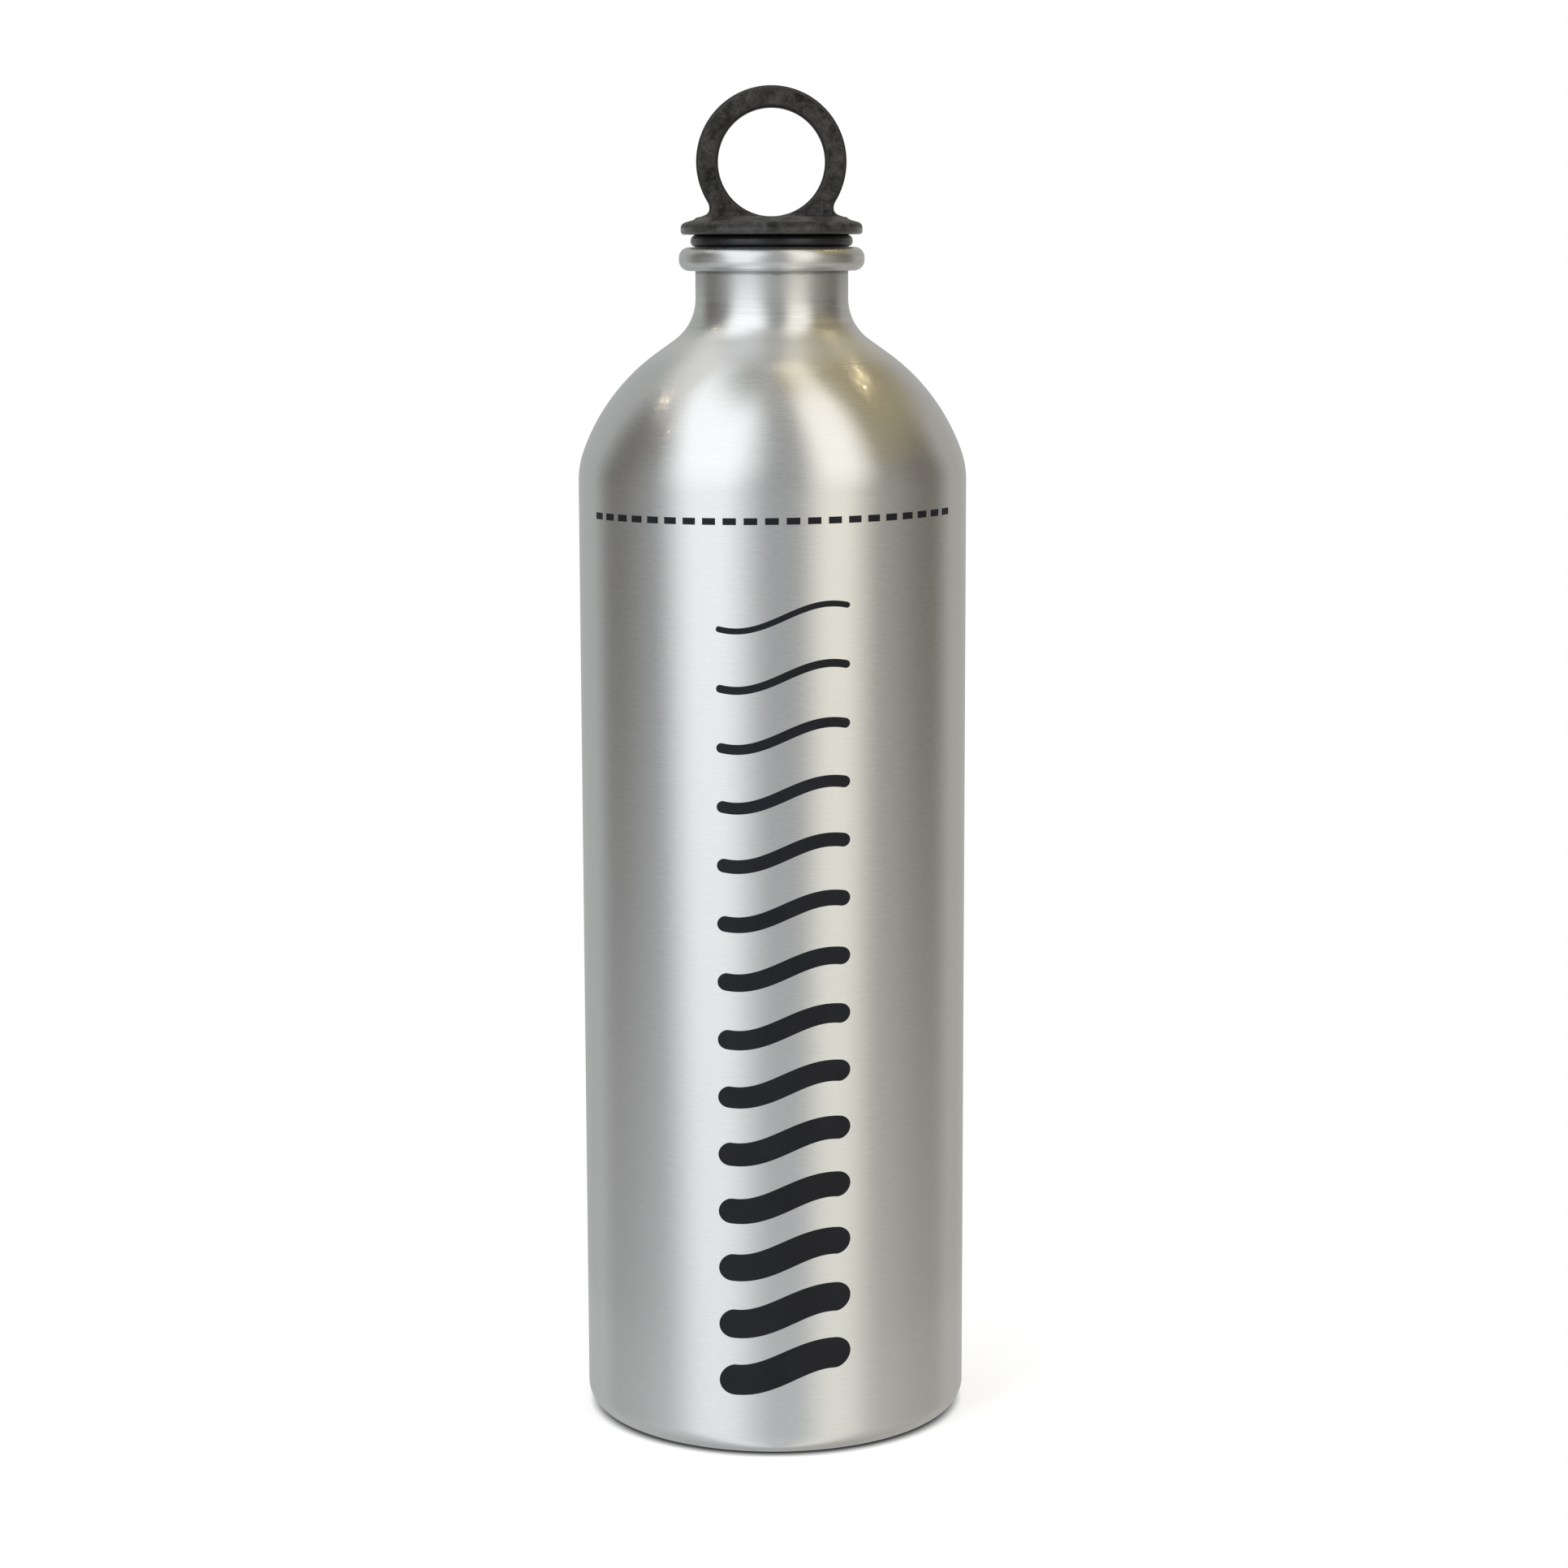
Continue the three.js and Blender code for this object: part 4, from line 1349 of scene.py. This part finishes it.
def surround_material():
    """What the metal sees round the bottle: two soft boxes, dark flags and a grey room with its ceiling."""
    material, nodes = stage_material("studio_surround")
    way = nodes.add("ShaderNodeVectorMath", {0: nodes.object_point()}, operation="NORMALIZE")[0]
    parts = nodes.parts(way)
    front = nodes.product(parts["Y"], -1.0)
    around = nodes.maths("DEGREES", nodes.maths("ARCTAN2", parts["X"], front))
    up = nodes.maths("DEGREES", nodes.maths("ARCSINE", parts["Z"]))
    off_front = nodes.maths("ABSOLUTE", around)
    to_left = nodes.product(around, -1.0)
    over = nodes.maths("MAXIMUM", up, 0.0)
    under = nodes.maths("MINIMUM", up, 0.0)
    over_fourth = nodes.maths("POWER", over, 4.0)

    def edge(side, lean, flare, tuck, start, end):
        """A ramp across a box's edge, which leans and flares outwards with height or tucks in below."""
        shift = nodes.maths("MULTIPLY_ADD", over_fourth, flare, nodes.product(over, lean))
        leaning = nodes.less(side, nodes.maths("MULTIPLY_ADD", under, tuck, shift))
        return nodes.ramp(leaning, start, end)

    def soft_box(side, inner, outer, top):
        """The mask of a box on one side of the front."""
        below_top = nodes.flipped(nodes.ramp(up, *top))
        return nodes.product(edge(side, *inner), nodes.flipped(edge(side, *outer)), below_top)

    not_behind = nodes.flipped(nodes.ramp(off_front, *BEHIND))
    warm = nodes.product(nodes.ramp(around, *WARM_SIDE), not_behind)
    front_wall = nodes.mixed(warm, GREY_ROOM, WARM_ROOM)
    flag = nodes.mixed(warm, DARK_FLAG, WARM_FLAG)
    back = nodes.mixed(warm, BACK_WALL, WARM_BACK_WALL)
    ceiling = nodes.mixed(warm, GREY_CEILING, WARM_CEILING)
    floor_glow = nodes.mixed(warm, FLOOR_GLOW, WARM_FLOOR_GLOW)
    seen = nodes.mixed(nodes.ramp(off_front, *FLAG_SIDE), front_wall, flag)
    seen = nodes.mixed(nodes.ramp(off_front, *BACK_SIDE), seen, back)
    seen = nodes.mixed(nodes.product(warm, nodes.ramp(up, *HAZE_RISE)), seen, WARM_HAZE)
    seen = nodes.mixed(nodes.ramp(up, *CEILING_RISE), seen, ceiling)

    panel = nodes.less(nodes.ramp(up, *PANEL_FOOT), nodes.ramp(up, *PANEL_HEAD))
    panel = nodes.product(panel, nodes.ramp(to_left, *PANEL_SIDE), not_behind)
    seen = nodes.mixed(panel, seen, CEILING_PANEL)

    slant = nodes.maths("MULTIPLY_ADD", parts["Y"], STREAK_SLANT, parts["X"])
    off_middle = nodes.maths("ABSOLUTE", nodes.less(slant, STREAK_MIDDLE))
    on_streak = nodes.flipped(nodes.ramp(off_middle, *STREAK_EDGE))
    streak_tone = nodes.mixed(nodes.ramp(parts["Y"], *STREAK_TO_BACK), WARM_STREAK, WARM_STREAK_END)
    seen = nodes.mixed(nodes.product(on_streak, nodes.ramp(up, *STREAK_RISE)), seen, streak_tone)

    brighter = nodes.ramp(up, *BOX_RISE)
    left_tone = nodes.mixed(brighter, COOL_BOX, COOL_BOX_TOP)
    right_tone = nodes.mixed(brighter, WARM_BOX, WARM_BOX_TOP)
    seen = nodes.mixed(soft_box(to_left, *LEFT_BOX), seen, left_tone)
    seen = nodes.mixed(soft_box(around, *RIGHT_BOX), seen, right_tone)

    in_front = nodes.flipped(nodes.ramp(off_front, *LOW_GLOW_SIDE))
    low_glow = nodes.product(nodes.ramp(up, *LOW_GLOW_FALL), in_front, LOW_GLOW_SHARE)
    seen = nodes.mixed(low_glow, seen, floor_glow)
    glow = nodes.add("ShaderNodeEmission", {"Color": seen, "Strength": 1.0})[0]
    nodes.add("ShaderNodeOutputMaterial", {"Surface": glow})
    return material


def surround():
    """A wide ball round the scene that only reflections see."""
    sizes = {"u_segments": 64, "v_segments": 32, "radius": SURROUND_RADIUS}
    made = stage_piece("studio_surround", surround_material(), bmesh.ops.create_uvsphere, **sizes)
    for ray in SURROUND_HIDDEN_FROM:
        setattr(made, "visible_" + ray, False)


def floor_material(radius):
    """Pale with a painted contact shadow where the foot stands, clear in reflections, and fading out all
    round.
    """
    material, nodes = stage_material("studio_floor")
    path = nodes.add("ShaderNodeLightPath")
    out = nodes.add("ShaderNodeVectorMath", {0: nodes.object_point()}, operation="LENGTH")["Value"]
    # Painted contact shadow: darker colour and no lift where the foot stands
    clear_of_foot = nodes.ramp(out, FLOOR_DARK, FLOOR_LIT)
    tone = nodes.mixed(clear_of_foot, FLOOR_PAINTED_SHADOW, FLOOR_GREY)
    matt = nodes.add("ShaderNodeBsdfDiffuse", {"Color": tone})[0]
    level = nodes.product(seen_directly(nodes, path), clear_of_foot, FLOOR_LIFT)
    lift = nodes.add("ShaderNodeEmission", {"Strength": level})[0]
    both = nodes.add("ShaderNodeAddShader", {0: matt, 1: lift})[0]
    clear = nodes.add("ShaderNodeBsdfTransparent")[0]
    fade = nodes.ramp(out, *(share_out * radius for share_out in FLOOR_FADE))
    thin = nodes.maths("MAXIMUM", fade, nodes.product(path["Is Glossy Ray"], FLOOR_SHEER))
    faded = nodes.add("ShaderNodeMixShader", {0: thin, 1: both, 2: clear})[0]
    nodes.add("ShaderNodeOutputMaterial", {"Surface": faded})
    return material


def floor(radius):
    """A pale floor that keeps the bottle's shadow and fades into white."""
    sizes = {"cap_ends": True, "cap_tris": True, "segments": 96, "radius": radius}
    made = stage_piece("studio_floor", floor_material(radius), bmesh.ops.create_circle, **sizes)


def white_world(ambient):
    """Even room light. Camera, reflections and glass see it as white."""
    world = bpy.data.worlds.new("studio")
    bpy.context.scene.world = world
    world.use_nodes = True
    nodes = emptied(world.node_tree)
    level = nodes.between(seen_directly(nodes, nodes.add("ShaderNodeLightPath")), ambient, 1.0)
    sky = nodes.add("ShaderNodeBackground", {"Color": WHITE, "Strength": level})[0]
    nodes.add("ShaderNodeOutputWorld", {"Surface": sky})


def lamp(name, power, tint, spot, width, height):
    """A soft area lamp that reflections don't see."""
    light = bpy.data.lights.new(name, "AREA")
    light.energy = power
    light.color = tint
    light.shape = "RECTANGLE"
    light.size = width
    light.size_y = height
    made = new_object(name, light)
    back = np.array(spot) - np.array(LAMP_AIM)
    back = back / np.linalg.norm(back)
    side = np.cross((0, 0, 1), back)
    side = side / np.linalg.norm(side)
    up = np.cross(back, side)
    made.matrix_world = Matrix.Translation(spot) @ Matrix((side, up, back)).transposed().to_4x4()
    made.visible_glossy = False
    made.visible_camera = False


def room_lamps():
    """The small warm lamps of the room, which only show as glints."""
    for number, (around, up, power) in enumerate(ROOM_LAMPS):
        a, e = math.radians(around), math.radians(up)
        aim = np.array((math.sin(a) * math.cos(e), -math.cos(a) * math.cos(e), math.sin(e)))
        light = bpy.data.lights.new(f"room_lamp_{number}", "POINT")
        light.energy = power
        light.color = ROOM_LAMP_COLOUR
        light.shadow_soft_size = ROOM_LAMP_RADIUS
        made = new_object(light.name, light)
        made.location = ROOM_LAMP_DISTANCE * aim + np.array(ROOM_LAMP_CENTRE)
        made.visible_camera = False


def camera(s):
    """The photograph's viewpoint."""
    lens = bpy.data.cameras.new("camera")
    lens.sensor_width = CAMERA_SENSOR
    lens.lens = s.lens
    lens.clip_start = CAMERA_NEAR
    made = new_object("camera", lens)
    tilt = Matrix.Rotation(math.pi / 2 - s.camera_tilt, 4, "X")
    roll = Matrix.Rotation(s.camera_roll, 4, "Z")
    spot = Matrix.Translation((s.camera_side, -s.camera_distance, s.camera_height))
    made.matrix_world = spot @ tilt @ roll
    bpy.context.scene.camera = made


# Operators


class MakeShell(bpy.types.Operator):
    """Build the aluminium bottle with its rolled rim and domed base"""

    bl_idname = "bottle.make_shell"
    bl_label = "Bottle shell"

    def execute(self, context):
        points, inside = shell_profile(settings("bottle_sizes"))
        shell = turn("shell", points, False, finish_of(brushed_metal), finish_of(inside_lacquer), inside)
        settle(shell, "bottle", "brushed_aluminium", "bottle_shell")
        return {"FINISHED"}


class MakeSleeve(bpy.types.Operator):
    """Build the thread sleeve in the neck"""

    bl_idname = "bottle.make_sleeve"
    bl_label = "Thread sleeve"

    def execute(self, context):
        points = sleeve_profile(settings("bottle_sizes"))
        sleeve = turn("thread_sleeve", points, True, finish_of(sleeve_plastic))
        settle(sleeve, "bottle", "sleeve_plastic", "neck_thread_insert")
        return {"FINISHED"}


class MakeSeal(bpy.types.Operator):
    """Build the rubber ring between the cap and the rim"""

    bl_idname = "bottle.make_seal"
    bl_label = "Seal ring"

    def execute(self, context):
        seal = turn("seal", seal_profile(settings("bottle_cap")), True, finish_of(seal_rubber))
        settle(seal, "seal", "seal_rubber", "seal_ring")
        return {"FINISHED"}


class MakeCap(bpy.types.Operator):
    """Mould the cap: carrying loop, flange and hollow plug in one piece"""

    bl_idname = "bottle.make_cap"
    bl_label = "Cap moulding"

    def execute(self, context):
        points, quads = moulded_surface(cap_distance(settings("bottle_cap")), CAP_LOW, CAP_HIGH)
        mesh = bpy.data.meshes.new("cap")
        mesh.from_pydata(points.tolist(), [], quads.tolist())
        mesh.shade_smooth()
        tidy_mesh(mesh)
        mark_flat(mesh, settings("bottle_cap"))
        mesh.materials.append(finish_of(cap_plastic))
        settle(new_object("cap", mesh), "cap", "cap_plastic", "screw_cap")
        return {"FINISHED"}


class MakeDisc(bpy.types.Operator):
    """Build the disc that closes the hollow plug"""

    bl_idname = "bottle.make_disc"
    bl_label = "Closing disc"

    def execute(self, context):
        disc = turn("closing_disc", disc_profile(settings("bottle_cap")), False, finish_of(cap_plastic))
        settle(disc, "cap", "cap_plastic", "plug_disc")
        return {"FINISHED"}


class MakeThreads(bpy.types.Operator):
    """Build the thread on the plug and the one in the sleeve"""

    bl_idname = "bottle.make_threads"
    bl_label = "Screw threads"

    def execute(self, context):
        t, c, s = settings("bottle_threads"), settings("bottle_cap"), settings("bottle_sizes")
        shared = {
            "Lead": t.lead,
            "Ridge height": t.ridge,
            "Ridge root": t.root,
            "Ridge crest": t.crest,
            "Sink": t.sink,
            "Rounding": t.softness,
            "Run-out": t.taper,
            "Steps": t.steps,
        }
        room = t.end_clear + t.root / 2
        plug = (c.plug_radius, CAP_LOW.z + room, RIM_TOP + c.stem_end - room, -math.pi / 2)
        sleeve = (s.sleeve_bore, SLEEVE_LOW.z + room, SLEEVE_HIGH.z - room, math.pi / 2)
        half_turn = math.pi + 2 * math.pi * (sleeve[1] - plug[1]) / t.lead
        tree = tree_named("Screw thread", thread_tree)
        for name, body, slot, finish, sizes, start in (
            ("plug_thread", "cap", "cap_plastic", cap_plastic, plug, 0.0),
            ("sleeve_thread", "bottle", "sleeve_plastic", sleeve_plastic, sleeve, half_turn),
        ):
            radius, low, high, facing = sizes
            values = {
                **shared,
                "Core radius": radius,
                "Start height": low,
                "Start angle": start,
                "Turns": (high - low) / t.lead,
                "Facing": facing,
                "Finish": finish_of(finish),
            }
            settle(grow(name, tree, values), body, slot)
        return {"FINISHED"}


class MakePrint(bpy.types.Operator):
    """Print the dashed fill line and the wave design on the front"""

    bl_idname = "bottle.make_print"
    bl_label = "Print"

    def execute(self, context):
        p, s = settings("bottle_print"), settings("bottle_sizes")
        shared = {
            "Radius": s.body_radius - s.print_film,
            "Tilt": p.tilt,
            "Depth": p.sink + s.print_film,
            "Depth centre": (s.print_film - p.sink) / 2,
            "Finish": finish_of(printed_ink),
        }
        dashes = {
            "Count": p.dash_count,
            "Width": p.dash_width,
            "Height": p.dash_height,
            "Pitch": p.dash_pitch,
            "Level": p.fill_height,
        }
        waves = {
            "Count": p.wave_count,
            "Width": p.wave_width,
            "Lowest": p.wave_low,
            "Highest": p.wave_high,
            "Thickest": p.wave_thick,
            "Thinnest": p.wave_thin,
            "Swing": p.wave_swing,
            "Wave length": p.wave_length,
            "Shift": p.wave_shift,
        }
        fill = grow("fill_line", tree_named("Dashed line", dash_tree), {**shared, **dashes})
        design = grow("wave_print", tree_named("Wave bars", wave_tree), {**shared, **waves})
        settle(fill, "bottle", "brushed_aluminium")
        settle(design, "bottle", "brushed_aluminium")
        return {"FINISHED"}


class MakeStage(bpy.types.Operator):
    """Set up the camera, the lamps, the white background and the floor"""

    bl_idname = "bottle.make_stage"
    bl_label = "Stage"

    def execute(self, context):
        s = settings("bottle_stage")
        context.scene.view_settings.view_transform = "Standard"
        white_world(s.ambient)
        surround()
        floor(s.floor_radius)
        for name, *shape in STUDIO_LAMPS:
            lamp(name + "_lamp", getattr(s, name + "_power"), *shape)
        room_lamps()
        camera(s)
        return {"FINISHED"}


PIECES = (MakeShell, MakeSleeve, MakeSeal, MakeCap, MakeDisc, MakeThreads, MakePrint, MakeStage)


class BottlePanel(bpy.types.Panel):
    """Buttons that build the bottle, and its sizes"""

    bl_idname = "VIEW3D_PT_bottle"
    bl_label = "Bottle"
    bl_space_type = "VIEW_3D"
    bl_region_type = "UI"
    bl_category = "Bottle"

    def draw(self, context):
        for piece in PIECES:
            self.layout.operator(piece.bl_idname)
        for name in GROUPS:
            box = self.layout.box()
            group = settings(name)
            for field in group.bl_rna.properties.keys():
                if field not in ("rna_type", "name"):
                    box.prop(group, field)


GROUPS = {
    "bottle_sizes": BottleSizes,
    "bottle_cap": CapSizes,
    "bottle_threads": ThreadSizes,
    "bottle_print": PrintSizes,
    "bottle_finishes": Finishes,
    "bottle_stage": StageSettings,
}


def register():
    """Adds the settings, the buttons and the panel to Blender."""
    for group in GROUPS.values():
        bpy.utils.register_class(group)
    for name, group in GROUPS.items():
        setattr(bpy.types.Scene, name, PointerProperty(type=group))
    for piece in (*PIECES, BottlePanel):
        bpy.utils.register_class(piece)


def unregister():
    """Takes them out again."""
    for piece in (BottlePanel, *reversed(PIECES)):
        bpy.utils.unregister_class(piece)
    for name, group in GROUPS.items():
        delattr(bpy.types.Scene, name)
        bpy.utils.unregister_class(group)


def main():
    """Builds every piece and the stage."""
    register()
    bpy.ops.bottle.make_shell()
    bpy.ops.bottle.make_sleeve()
    bpy.ops.bottle.make_seal()
    bpy.ops.bottle.make_cap()
    bpy.ops.bottle.make_disc()
    bpy.ops.bottle.make_threads()
    bpy.ops.bottle.make_print()
    bpy.ops.bottle.make_stage()


if __name__ == "__main__":
    main()
